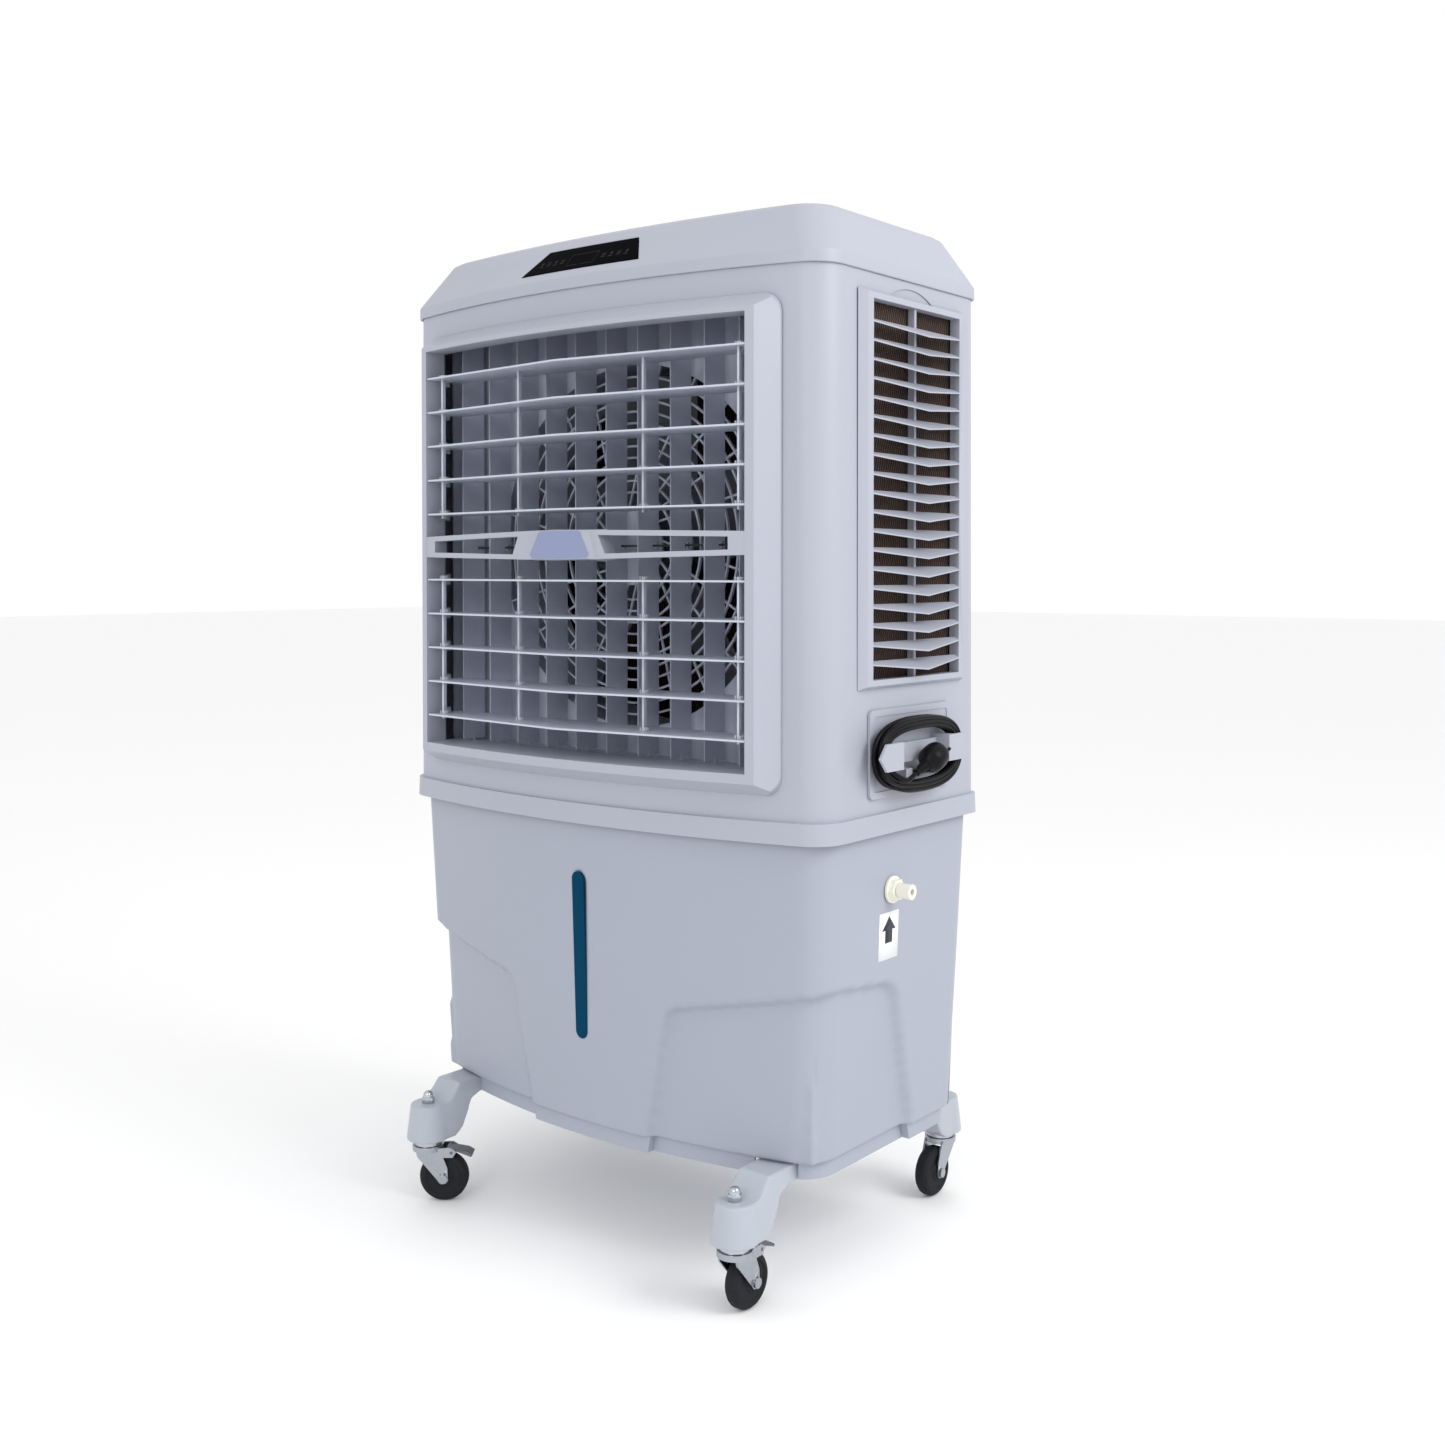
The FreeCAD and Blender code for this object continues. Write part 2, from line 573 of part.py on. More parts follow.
def make_fin(x):
    low, high = LEDGE_LOW + FIN_END_GAP, LEDGE_HIGH - FIN_END_GAP
    back = FIN_FRONT + FIN_CHORD
    nose = FIN_THICK / 2
    blade = box(x - nose, x + nose, FIN_FRONT + nose, back - nose, low, high)
    blade = blade.fuse(rod((x, FIN_FRONT + nose, low), (x, FIN_FRONT + nose, high), nose))
    blade = blade.fuse(rod((x, back - nose, low), (x, back - nose, high), nose))
    pivot = rod((x, FIN_PIVOT_Y, LEDGE_LOW - WALL), (x, FIN_PIVOT_Y, LEDGE_HIGH + WALL), FIN_PIN_R)
    crank_y = FIN_PIVOT_Y + FIN_CRANK
    half_slot = FIN_BAR_W / 2 + FIN_SLOT_SLACK
    blade = blade.cut(box(x - 5, x + 5, crank_y - half_slot, crank_y + half_slot,
                          RAIL_MID - FIN_SLOT_HALF_H, RAIL_MID + FIN_SLOT_HALF_H))
    pivot = pivot.cut(box(x - 5, x + 5, FIN_PIVOT_Y - 5, FIN_PIVOT_Y + 5, low + 6, high - 6))
    pin_half = FIN_SLOT_HALF_H + 2.0
    crank = rod((x, crank_y, RAIL_MID - pin_half), (x, crank_y, RAIL_MID + pin_half), LINK_PIN_R)
    return fuse([blade, pivot, crank])


def make_fin_bar():
    places = fin_places()
    crank_y = FIN_PIVOT_Y + FIN_CRANK
    z = RAIL_MID
    bar = box(places[0] - 8, places[-1] + 8, crank_y - FIN_BAR_W / 2, crank_y + FIN_BAR_W / 2,
              z - FIN_BAR_T / 2, z + FIN_BAR_T / 2)
    for x in places:
        bar = bar.cut(rod((x, crank_y, z - 5), (x, crank_y, z + 5), LINK_PIN_R + PIN_PLAY))
    return bar


def make_swing_motor():
    """Small geared motor under the lower ledge; its shaft turns the middle fin's pivot."""
    x = fin_places()[FIN_COUNT // 2]
    top = LEDGE_LOW - WALL - FIT
    body = rod((x, FIN_PIVOT_Y, top - 22), (x, FIN_PIVOT_Y, top - 3), 24.0)
    ears = box(x - 34, x + 34, FIN_PIVOT_Y - 6, FIN_PIVOT_Y + 6, top - 6, top - 3)
    boss = rod((x, FIN_PIVOT_Y, top - 3), (x, FIN_PIVOT_Y, top), 7.0)
    return fuse([body, ears, boss])


# ---------------------------------------------------------------- fan
def make_fan_guard():
    """One moulding: baffle, guard rings and spokes, fan tunnel and the ledges that hold the fins."""
    back = GUARD_FRONT + GUARD_RING_DEEP
    low, high = LEDGE_LOW - WALL, LEDGE_HIGH + WALL
    plate = box(-GUARD_HALF_W, GUARD_HALF_W, GUARD_FRONT, back, low, high)
    plate = plate.cut(rod((0, GUARD_FRONT - 1, FAN_Z), (0, back + 1, FAN_Z), GUARD_R))
    pieces = [plate]
    radius = GUARD_R - GUARD_RING_PITCH
    while radius > GUARD_HUB_R + GUARD_RING_PITCH / 2:
        pieces.append(tube((0, GUARD_FRONT, FAN_Z), (0, back, FAN_Z), radius, radius - GUARD_RING_W))
        radius -= GUARD_RING_PITCH
    pieces.append(rod((0, GUARD_FRONT, FAN_Z), (0, back, FAN_Z), GUARD_HUB_R))
    rim = rod((0, GUARD_FRONT, FAN_Z), (0, back, FAN_Z), GUARD_R + 2)
    hub_z = FAN_Z + GUARD_HUB_R - 2
    spoke = box(-GUARD_RING_W / 2, GUARD_RING_W / 2, GUARD_FRONT + 1, back, hub_z, FAN_Z + GUARD_R + 20)
    spoke = turned(spoke, GUARD_SPOKE_LEAN, (0, 0, hub_z), (0, 1, 0)).common(rim)
    for i in range(GUARD_SPOKES):
        pieces.append(turned(spoke, 360.0 / GUARD_SPOKES * (i + 0.5), (0, 0, FAN_Z), (0, 1, 0)))
    tunnel_end = GUARD_FRONT + SHROUD_LENGTH
    pieces.append(tube((0, GUARD_FRONT + 1, FAN_Z), (0, tunnel_end, FAN_Z), GUARD_R + WALL, GUARD_R))
    pieces.append(tube((0, tunnel_end - WALL, FAN_Z), (0, tunnel_end, FAN_Z), GUARD_R + 26, GUARD_R))
    ledge_front = FIN_PIVOT_Y - 9.0
    for z0 in (low, LEDGE_HIGH):
        ledge = box(-GUARD_HALF_W, GUARD_HALF_W, ledge_front, back, z0, z0 + WALL)
        for x in fin_places():
            ledge = ledge.cut(rod((x, FIN_PIVOT_Y, z0 - 5), (x, FIN_PIVOT_Y, z0 + 5),
                                  FIN_PIN_R + PIN_PLAY))
        pieces.append(ledge)
    for side in (-1, 1):
        x0, x1 = sorted((side * GUARD_HALF_W, side * (GUARD_HALF_W - WALL)))
        pieces.append(box(x0, x1, ledge_front, back, low, high))
    return fuse(pieces)


def make_fan():
    back = FAN_FRONT + FAN_DEEP
    hub = rod((0, FAN_FRONT, FAN_Z), (0, back, FAN_Z), FAN_HUB_R)
    nose = Part.makeSphere(FAN_HUB_R, Vec(0, FAN_FRONT + FAN_HUB_R - 8, FAN_Z))
    hub = hub.common(nose.fuse(box(-FAN_R, FAN_R, FAN_FRONT + 20, back, FAN_Z - FAN_R, FAN_Z + FAN_R)))
    pieces = [hub]
    pitch, chord, thick = 32.0, 128.0, 3.0
    sweep = rod((0, FAN_FRONT, FAN_Z), (0, back, FAN_Z), FAN_R)
    for i in range(FAN_BLADES):
        blade = box(-chord / 2, chord / 2, -thick / 2, thick / 2, FAN_HUB_R - 12, FAN_R)
        blade = turned(blade, pitch)
        blade = moved(blade, 0, (FAN_FRONT + back) / 2, FAN_Z)
        blade = turned(blade, 360.0 / FAN_BLADES * i, (0, 0, FAN_Z), (0, 1, 0))
        pieces.append(blade.common(sweep))
    fan = pieces[0].multiFuse(pieces[1:])
    return fan.cut(rod((0, FAN_FRONT + 24, FAN_Z), (0, back + 1, FAN_Z), SHAFT_R + PIN_PLAY))


def make_fan_motor():
    """Motor with its shaft, and the pressed-steel bracket it is bolted to."""
    fan_back = FAN_FRONT + FAN_DEEP
    front = fan_back + 9.0
    end = front + MOTOR_LENGTH
    motor = fuse([
        rod((0, front, FAN_Z), (0, end, FAN_Z), MOTOR_R),
        rod((0, FAN_FRONT + 26, FAN_Z), (0, front, FAN_Z), SHAFT_R),
        rod((0, front - 3, FAN_Z), (0, front, FAN_Z), 22.0),
    ])
    flange = GUARD_FRONT + SHROUD_LENGTH
    foot_x = GUARD_R + 14.0
    bars = []
    for side in (-1, 1):
        z = FAN_Z + side * BRACKET_BAR_GAP / 2
        z0, z1 = z - BRACKET_BAR_H / 2, z + BRACKET_BAR_H / 2
        bars.append(box(-foot_x, foot_x, end, end + BRACKET_T, z0, z1))
        for end_x in (-1, 1):
            x0, x1 = sorted((end_x * foot_x, end_x * (foot_x - BRACKET_T)))
            bars.append(box(x0, x1, flange, end + BRACKET_T, z0, z1))
            x0, x1 = sorted((end_x * (foot_x + 8), end_x * (foot_x - 10)))
            bars.append(box(x0, x1, flange, flange + BRACKET_T, z0, z1))
    bars.append(box(-40, 40, end, end + BRACKET_T, FAN_Z - BRACKET_BAR_GAP / 2, FAN_Z + BRACKET_BAR_GAP / 2))
    return Part.makeCompound([motor, fuse(bars)])


# ---------------------------------------------------------------- pads and covers
def make_cover(middle, width, bottom, top, slats, posts):
    """Louvred pad cover, drawn as the right side's: outwards is +X, across is Y."""
    base, face = SIDE_FACE, SIDE_FACE + COVER_PROUD
    y0, y1 = middle - width / 2, middle + width / 2
    slope = COVER_PROUD

    def rectangle(x, shrink):
        near, far = y0 + shrink, y1 - shrink
        low, high = bottom + shrink / 2, top - shrink / 2
        corners = [(near, low), (far, low), (far, high), (near, high), (near, low)]
        return Part.makePolygon([Vec(x, y, z) for y, z in corners])

    body = loft(rectangle(base, 0.0), rectangle(face, slope))
    hollow = loft(rectangle(base - 1, WALL), rectangle(face - WALL, slope + WALL / 2))
    win_y0, win_y1 = y0 + COVER_BORDER, y1 - COVER_BORDER
    win_z0, win_z1 = bottom + COVER_BORDER_LOW, top - COVER_BORDER_HIGH
    inner = CASE_HALF - WALL - 2
    frame = box(inner, face - 1, win_y0 - WALL, win_y1 + WALL, win_z0 - WALL, win_z1 + WALL)
    window = box(0, HALF_W * 2, win_y0, win_y1, win_z0, win_z1)
    pieces = [body.cut(hollow).fuse(frame).cut(window)]
    pitch = (win_z1 - win_z0) / (slats + 1)
    bays = posts + 1
    bay = (win_y1 - win_y0) / bays
    vees = max(1, bays // 2)
    vee = (win_y1 - win_y0) / vees
    root = face - COVER_SLAT_END
    for i in range(slats):
        z = win_z0 + pitch * (i + 1)
        edge = [(root, win_y0 - 1), (root, win_y1 + 1)]
        for k in range(vees, 0, -1):
            edge += [(face, win_y0 + vee * k + (1 if k == vees else 0)),
                     (root + COVER_SLAT_MID, win_y0 + vee * (k - 0.5))]
        edge.append((face, win_y0 - 1))
        pieces.append(prism([(x, y, z - COVER_SLAT_DROP * (x - root)) for x, y in edge],
                            (0, 0, -COVER_SLAT_T)))
    for k in range(1, bays):
        y = win_y0 + bay * k
        pieces.append(box(inner, root + 2, y - COVER_POST / 2, y + COVER_POST / 2, win_z0 - 1, win_z1 + 1))
    cover = fuse(pieces)
    scoop = grip_scoop_of(middle, top)
    return cover.cut(scoop)


def grip_scoop_of(middle, top):
    """Shallow hollow in the cover's top edge that leads the fingers behind it."""
    return box(SIDE_FACE - 1, SIDE_FACE + COVER_PROUD - WALL, middle - GRIP_WIDTH / 2 + 8,
               middle + GRIP_WIDTH / 2 - 8, top - 6, top + 1)


def make_pads():
    """Three corrugated cellulose pads, each a plain block."""
    half = SIDE_COVER_W / 2 - 8.0
    outer = CASE_HALF - 2 * WALL - 2
    right = box(outer - PAD_THICK, outer, SIDE_COVER_MID - half, SIDE_COVER_MID + half,
                SIDE_COVER_BOTTOM + 2, SIDE_COVER_TOP - 4)
    half = REAR_COVER_W / 2 - 8.0
    rear_outer = HALF_D - LIP_STEP - 2 * WALL - 2
    rear = box(-half, half, rear_outer - PAD_THICK, rear_outer, REAR_COVER_BOTTOM + 2, SIDE_COVER_TOP - 4)
    return Part.makeCompound([right, mirror_x(right), rear])


def make_distributor():
    """Trough that lies on the three pads and wets them from above."""
    outer = CASE_HALF - 2 * WALL - 2
    rear_outer = HALF_D - LIP_STEP - 2 * WALL - 2
    z0 = SIDE_COVER_TOP - 4
    z1 = z0 + 16
    side_y0 = SIDE_COVER_MID - SIDE_COVER_W / 2 + 8
    arms = [box(outer - PAD_THICK, outer, side_y0, rear_outer - 20, z0, z1),
            box(-outer, -outer + PAD_THICK, side_y0, rear_outer - 20, z0, z1),
            box(-outer, outer, rear_outer - PAD_THICK, rear_outer - 20, z0, z1)]
    trough = fuse(arms)
    t = 2.0
    inside = fuse([
        box(outer - PAD_THICK + t, outer - t, side_y0 + t, rear_outer - 20 - t, z0 + t, z1 + 1),
        box(-outer + t, -outer + PAD_THICK - t, side_y0 + t, rear_outer - 20 - t, z0 + t, z1 + 1),
        box(-outer + t, outer - t, rear_outer - PAD_THICK + t, rear_outer - 20 - t, z0 + t, z1 + 1)])
    return trough.cut(inside)


# ---------------------------------------------------------------- tank
def tank_body(inset, top):
    """Tapered tank with both front corners sunk; with an inset, its hollow."""
    low_half, high_half = TANK_TOP_HALF - TANK_TAPER_X - inset, TANK_TOP_HALF - inset
    low_extra = TANK_TAPER_Y - TANK_TAPER_X
    bottom = TANK_BOTTOM + inset

    def taper(sink):
        return loft(case_outline(low_half - sink, bottom, extra_y=low_extra),
                    case_outline(high_half - sink, top))

    full = taper(0.0)
    sunk = recess_zone(inset)
    return full.cut(sunk.cut(taper(RECESS_DEEP))).cut(mirror_x(sunk).cut(taper(RECESS_DEEP)))


def recess_zone(grow):
    """Where the right front corner is sunk: seen from the front and from the side."""
    low = TANK_BOTTOM - BASE_HEIGHT - 20
    far_x, far_y = HALF_W + 55.0, HALF_D + 116.5
    front = [(106 - grow, low), (150 - grow, 352), (156 - grow, 362 + grow), (172, 368 + grow),
             (far_x, 424 + grow), (far_x, low)]
    side = [(62 + grow, low), (0 + grow, 372), (-8, 390 + grow), (-26, 396 + grow), (-far_y, 430 + grow),
            (-far_y, low)]
    return prism_xz(front, -far_y, far_y).common(prism_yz(side, 0, far_x))


def make_tank():
    rim = LIP_TOP - WALL
    shell = tank_body(0.0, rim).cut(tank_body(WALL + 0.5, rim + 1))
    flange = loft(case_outline(HALF_W - WALL - 1.2, rim - 4), case_outline(HALF_W - WALL - 1.2, rim))
    inner_half = TANK_TOP_HALF - WALL
    flange = flange.cut(loft(case_outline(inner_half, rim - 5), case_outline(inner_half, rim + 1)))
    shell = shell.fuse(flange)
    shell = shell.cut(rod((0, INLET_Y, INLET_Z), (HALF_W, INLET_Y, INLET_Z), 8.2))
    drain = (-LEG_X / 2, 0)
    shell = shell.cut(rod((drain[0], drain[1], 0), (drain[0], drain[1], TANK_BOTTOM + 20), 9.0))
    return shell.cut(window_zone(0.2)).removeSplitter()


def window_zone(grow):
    """Upright slot with round ends, straight through the tank's front wall."""
    half = WINDOW_WIDTH / 2 + grow
    return rounded_rect_xz(-half, half, WINDOW_BOTTOM - grow, WINDOW_TOP + grow, half - 0.01,
                           -2 * HALF_D, -HALF_D)


def make_level_window():
    rim = LIP_TOP - WALL
    strip = window_zone(0.0)
    return strip.common(tank_body(-0.6, rim)).cut(tank_body(WALL - 0.6, rim + 1))


def tank_side_x(z):
    """Outer half-width of the tank at height z, away from the sunk corners."""
    share = (z - TANK_BOTTOM) / (LIP_TOP - WALL - TANK_BOTTOM)
    return TANK_TOP_HALF - TANK_TAPER_X * (1 - share)


def make_inlet():
    """Lock nut and threaded spout outside, float arm and float inside."""
    x = tank_side_x(INLET_Z)
    bore = 5.0

    def at(start, end, r):
        return rod((x + start, INLET_Y, INLET_Z), (x + end, INLET_Y, INLET_Z), r)

    hexagon = [(INLET_Y + 16 * math.cos(math.radians(60 * i)), INLET_Z + 16 * math.sin(math.radians(60 * i)))
               for i in range(6)]
    nut = prism_yz(hexagon, x + 4.5, x + 12).fuse(at(1.2, 4.5, 19)).cut(at(0, 14, 8.1))
    spout = fuse([at(-22, 15, 8.0), at(15, SPOUT_LENGTH + 12, SPOUT_R), at(-30, -5, 12.0)])
    spout = spout.cut(at(-31, SPOUT_LENGTH + 13, bore))
    arm = rod((x - 28, INLET_Y + 14, INLET_Z), (x - 110, INLET_Y + 14, INLET_Z - 24), 2.5)
    bracket = box(x - 32, x - 20, INLET_Y + 10, INLET_Y + 18, INLET_Z - 5, INLET_Z + 5)
    ball = Part.makeSphere(26.0, Vec(x - 130, INLET_Y + 14, INLET_Z - 30))
    return Part.makeCompound([nut, spout.fuse(bracket), fuse([arm, ball]).cut(bracket)])


def make_drain():
    x, y = -LEG_X / 2, 0.0
    z = TANK_BOTTOM
    knob = rod((x, y, z - BASE_HEIGHT - 8), (x, y, z - 4), 15.0)
    return fuse([knob, rod((x, y, z - 5), (x, y, z + 8), 8.8)])


def make_pump():
    """Submersible pump on the tank floor and the riser hose to the trough."""
    floor = TANK_BOTTOM + WALL + 0.7
    x, y = TANK_TOP_HALF - 71.0, HALF_D - 65.5
    body = fuse([box(x - 62, x - 2, y - 42, y + 18, floor, floor + 62),
                 box(x - 54, x - 10, y - 34, y + 10, floor + 61, floor + 76),
                 rod((x, y, floor + 30), (x, y, floor + 70), 9.0),
                 box(x - 10, x, y - 8, y + 8, floor + 30, floor + 46)])
    rear_outer = HALF_D - LIP_STEP - 2 * WALL - 2
    hose_y = min(y, rear_outer - PAD_THICK - 12)
    hose = tube((x, hose_y, floor + 70), (x, hose_y, SIDE_COVER_TOP + 6), 8.0, 6.0)
    return Part.makeCompound([moved(body, 0, hose_y - y, 0), hose])


# ---------------------------------------------------------------- base, legs, casters
def make_base():
    """Tray under the tank that the legs bolt to, with the tank's sunk corners."""
    low, high = TANK_BOTTOM - BASE_HEIGHT, TANK_BOTTOM
    half = TANK_TOP_HALF - TANK_TAPER_X - BASE_INSET
    extra = TANK_TAPER_Y - TANK_TAPER_X

    def tray(inset, z0, z1):
        full = loft(case_outline(half - inset, z0, extra_y=extra), case_outline(half - inset, z1, extra_y=extra))
        sunk = loft(case_outline(half - inset - RECESS_DEEP, z0 - 1, extra_y=extra),
                    case_outline(half - inset - RECESS_DEEP, z1 + 1, extra_y=extra))
        zone = recess_zone(inset)
        return full.cut(zone.cut(sunk)).cut(mirror_x(zone).cut(sunk))

    shell = tray(0.0, low, high).cut(tray(WALL, low - 1, high - WALL))
    shell = shell.cut(rod((-LEG_X / 2, 0, low - 5), (-LEG_X / 2, 0, high + 5), 17.0))
    for x in (-LEG_X, LEG_X):
        for side in (-1, 1):
            y0, y1 = sorted((side * 60.0, side * (LEG_Y + 40)))
            gap = LEG_HALF_W + FIT
            shell = shell.cut(box(x - gap, x + gap, y0, y1, low - 1, high - WALL - FIT))
    return shell


def leg_places():
    return [(-LEG_X, -LEG_Y), (LEG_X, -LEG_Y), (-LEG_X, LEG_Y), (LEG_X, LEG_Y)]


def make_leg(x, y):
    """Cranked arm: under the tank at its inner end, down and out to the caster's stem."""
    top = TANK_BOTTOM - WALL - FIT - 0.1
    low, high = LEG_TOE_LOW, LEG_TOE_HIGH
    s = LEG_Y
    toe = s + LEG_TOE_R
    shape = [(s - 130, top - 24), (s - 130, top), (s - 42, top), (s - 22, high + 2), (s - 14, high),
             (toe - 9, high), (toe - 2, high - 12), (toe, low + 8), (toe + 1, low), (s - 30, low),
             (s - 46, low + 10), (s - 66, top - 30), (s - 84, top - 24)]
    arm = prism_yz([(-a, z) for a, z in shape], -LEG_TOE_R, LEG_TOE_R)
    toe_round = Part.makeCone(LEG_TOE_R, LEG_TOE_R - LEG_DRAFT, top - low, Vec(0, -s, low))
    wide, narrow = LEG_HALF_W, LEG_HALF_W - LEG_DRAFT / 2
    sides = prism_xz([(-wide, low), (wide, low), (narrow, top + 1), (-narrow, top + 1)], -s, 0)
    arm = arm.common(toe_round.fuse(sides))
    arm = arm.cut(rod((0, -s, low - 1), (0, -s, high + 1), STEM_R + 0.3))
    if y > 0:
        arm = arm.mirror(Vec(0, 0, 0), Vec(0, 1, 0))
    return moved(arm, x, 0, 0)


def make_caster_mount(x, y):
    """Swivel race with its threaded stem, and the domed nut on the leg."""
    stem = fuse([rod((x, y, LEG_TOE_LOW - RACE_H), (x, y, LEG_TOE_LOW), RACE_R - 3),
                 rod((x, y, LEG_TOE_LOW - RACE_H), (x, y, LEG_TOE_HIGH + NUT_HEX_H), STEM_R)])
    across = NUT_ACROSS / math.sqrt(3)
    hexagon = [(x + across * math.cos(math.radians(60 * i)), y + across * math.sin(math.radians(60 * i)))
               for i in range(6)]
    nut = prism_xy(hexagon, LEG_TOE_HIGH, LEG_TOE_HIGH + NUT_HEX_H)
    dome_z = LEG_TOE_HIGH + NUT_HEX_H + NUT_DOME_H - NUT_ACROSS * 0.45
    dome = fuse([rod((x, y, LEG_TOE_HIGH + NUT_HEX_H - 1), (x, y, dome_z), NUT_ACROSS * 0.45),
                 Part.makeSphere(NUT_ACROSS * 0.45, Vec(x, y, dome_z))])
    nut = nut.fuse(dome).cut(rod((x, y, LEG_TOE_HIGH - 1), (x, y, LEG_TOE_HIGH + NUT_HEX_H), STEM_R))
    return [stem, nut]


# Heading of each caster's trail, in degrees from +X, and whether it has a brake.
CASTERS = {
    "front_left": (-LEG_X, -LEG_Y, 38.0, True),
    "front_right": (LEG_X, -LEG_Y, 90.0, True),
    "rear_left": (-LEG_X, LEG_Y, 250.0, False),
    "rear_right": (LEG_X, LEG_Y, 270.0, False),
}
FORK_INNER = WHEEL_W / 2 + FORK_GAP
FORK_TOP = LEG_TOE_LOW - RACE_H - RACE_PLAY


def place_caster(shape, x, y, heading):
    return moved(turned(shape, heading), x, y, 0)


def make_fork(brake):
    """Fork drawn with its swivel axis at the origin and the wheel trailing towards +X."""
    dome = rod((0, 0, FORK_TOP - 8), (0, 0, FORK_TOP), RACE_R)
    bridge = box(-14, 16, -FORK_INNER - FORK_T, FORK_INNER + FORK_T, FORK_TOP - 6, FORK_TOP - 3)
    side = [(-18, FORK_TOP - 3), (20, FORK_TOP - 3), (TRAIL + 7, WHEEL_R + 16), (TRAIL + 8, WHEEL_R - 3),
            (TRAIL + 4, WHEEL_R - 8), (TRAIL - 4, WHEEL_R - 8), (TRAIL - 9, WHEEL_R - 2), (-14, FORK_TOP - 16)]
    pieces = [dome, bridge]
    for hand in (-1, 1):
        y0, y1 = sorted((hand * FORK_INNER, hand * (FORK_INNER + FORK_T)))
        pieces.append(prism_xz(side, y0, y1))
    if brake:
        for hand in (-1, 1):
            y0, y1 = sorted((hand * FORK_INNER, hand * (FORK_INNER + FORK_T)))
            pieces.append(prism_xz([(10, FORK_TOP - 3), (36, FORK_TOP - 2), (46, FORK_TOP - 8),
                                    (40, FORK_TOP - 17), (14, FORK_TOP - 17)], y0, y1))
    fork = fuse(pieces)
    wheel_room = rod((TRAIL, -FORK_INNER, WHEEL_R), (TRAIL, FORK_INNER, WHEEL_R), WHEEL_R + 1.6)
    fork = fork.cut(wheel_room)
    fork = fork.cut(rod((TRAIL, -40, WHEEL_R), (TRAIL, 40, WHEEL_R), AXLE_R))
    if brake:
        fork = fork.cut(rod((PEDAL_PIVOT_X, -40, PEDAL_PIVOT_Z), (PEDAL_PIVOT_X, 40, PEDAL_PIVOT_Z),
                            PEDAL_PIN_R + PIN_PLAY))
    outer = FORK_INNER + FORK_T
    axle = fuse([rod((TRAIL, -outer - 4, WHEEL_R), (TRAIL, outer + 4, WHEEL_R), AXLE_R),
                 rod((TRAIL, outer, WHEEL_R), (TRAIL, outer + 4, WHEEL_R), 7.0),
                 rod((TRAIL, -outer - 4, WHEEL_R), (TRAIL, -outer, WHEEL_R), 7.0)])
    return Part.makeCompound([fork, axle])


def make_wheel():
    """Rubber-tyred wheel, turned about its axle, with dished faces."""
    half = WHEEL_W / 2
    bore = AXLE_R + PIN_PLAY
    profile = [(bore, -half), (13, -half), (15, -half + 2), (26, -half + 2.5), (28, -half + 0.5),
               (33, -half + 1.5),
               (36.2, -half + 5), (WHEEL_R, -4), (WHEEL_R, 4), (36.2, half - 5), (33, half - 1.5),
               (28, half - 0.5), (26, half - 2.5), (15, half - 2), (13, half), (bore, half)]
    wire = Part.makePolygon([Vec(r, w, 0) for r, w in profile + profile[:1]])
    wheel = Part.Face(wire).revolve(Vec(0, 0, 0), Vec(0, 1, 0), 360)
    return moved(wheel, TRAIL, 0, WHEEL_R)


PEDAL_PIVOT_X = 38.0
PEDAL_PIVOT_Z = FORK_TOP - 9.5
PEDAL_PIN_R = 2.5


def make_pedal():
    """Foot pedal over the wheel, on a cross pin in the fork's ears."""
    half = FORK_INNER - 0.5
    tread = [(30, FORK_TOP - 3.5), (62, FORK_TOP - 9), (70, FORK_TOP - 14), (68, FORK_TOP - 17),
             (58, FORK_TOP - 13), (44, FORK_TOP - 8), (30, FORK_TOP - 6.5)]
    pedal = prism_xz(tread, -half, half)
    lug = rod((PEDAL_PIVOT_X, -half, PEDAL_PIVOT_Z), (PEDAL_PIVOT_X, half, PEDAL_PIVOT_Z), 4.0)
    pin_half = FORK_INNER + FORK_T
    pin = rod((PEDAL_PIVOT_X, -pin_half, PEDAL_PIVOT_Z), (PEDAL_PIVOT_X, pin_half, PEDAL_PIVOT_Z), PEDAL_PIN_R)
    return fuse([pedal, lug, pin]).cut(rod((TRAIL, -half - 1, WHEEL_R), (TRAIL, half + 1, WHEEL_R), WHEEL_R + 1.5))


# ---------------------------------------------------------------- cord plate and cord
PLATE_FACE = SIDE_FACE + PLATE_T
COIL_X0 = PLATE_FACE + 8.0
COIL_X1 = COIL_X0 + COIL_DEEP
GLAND_Y, GLAND_Z = -24.0, 695.0
CORD_X = PLATE_FACE + 12.1


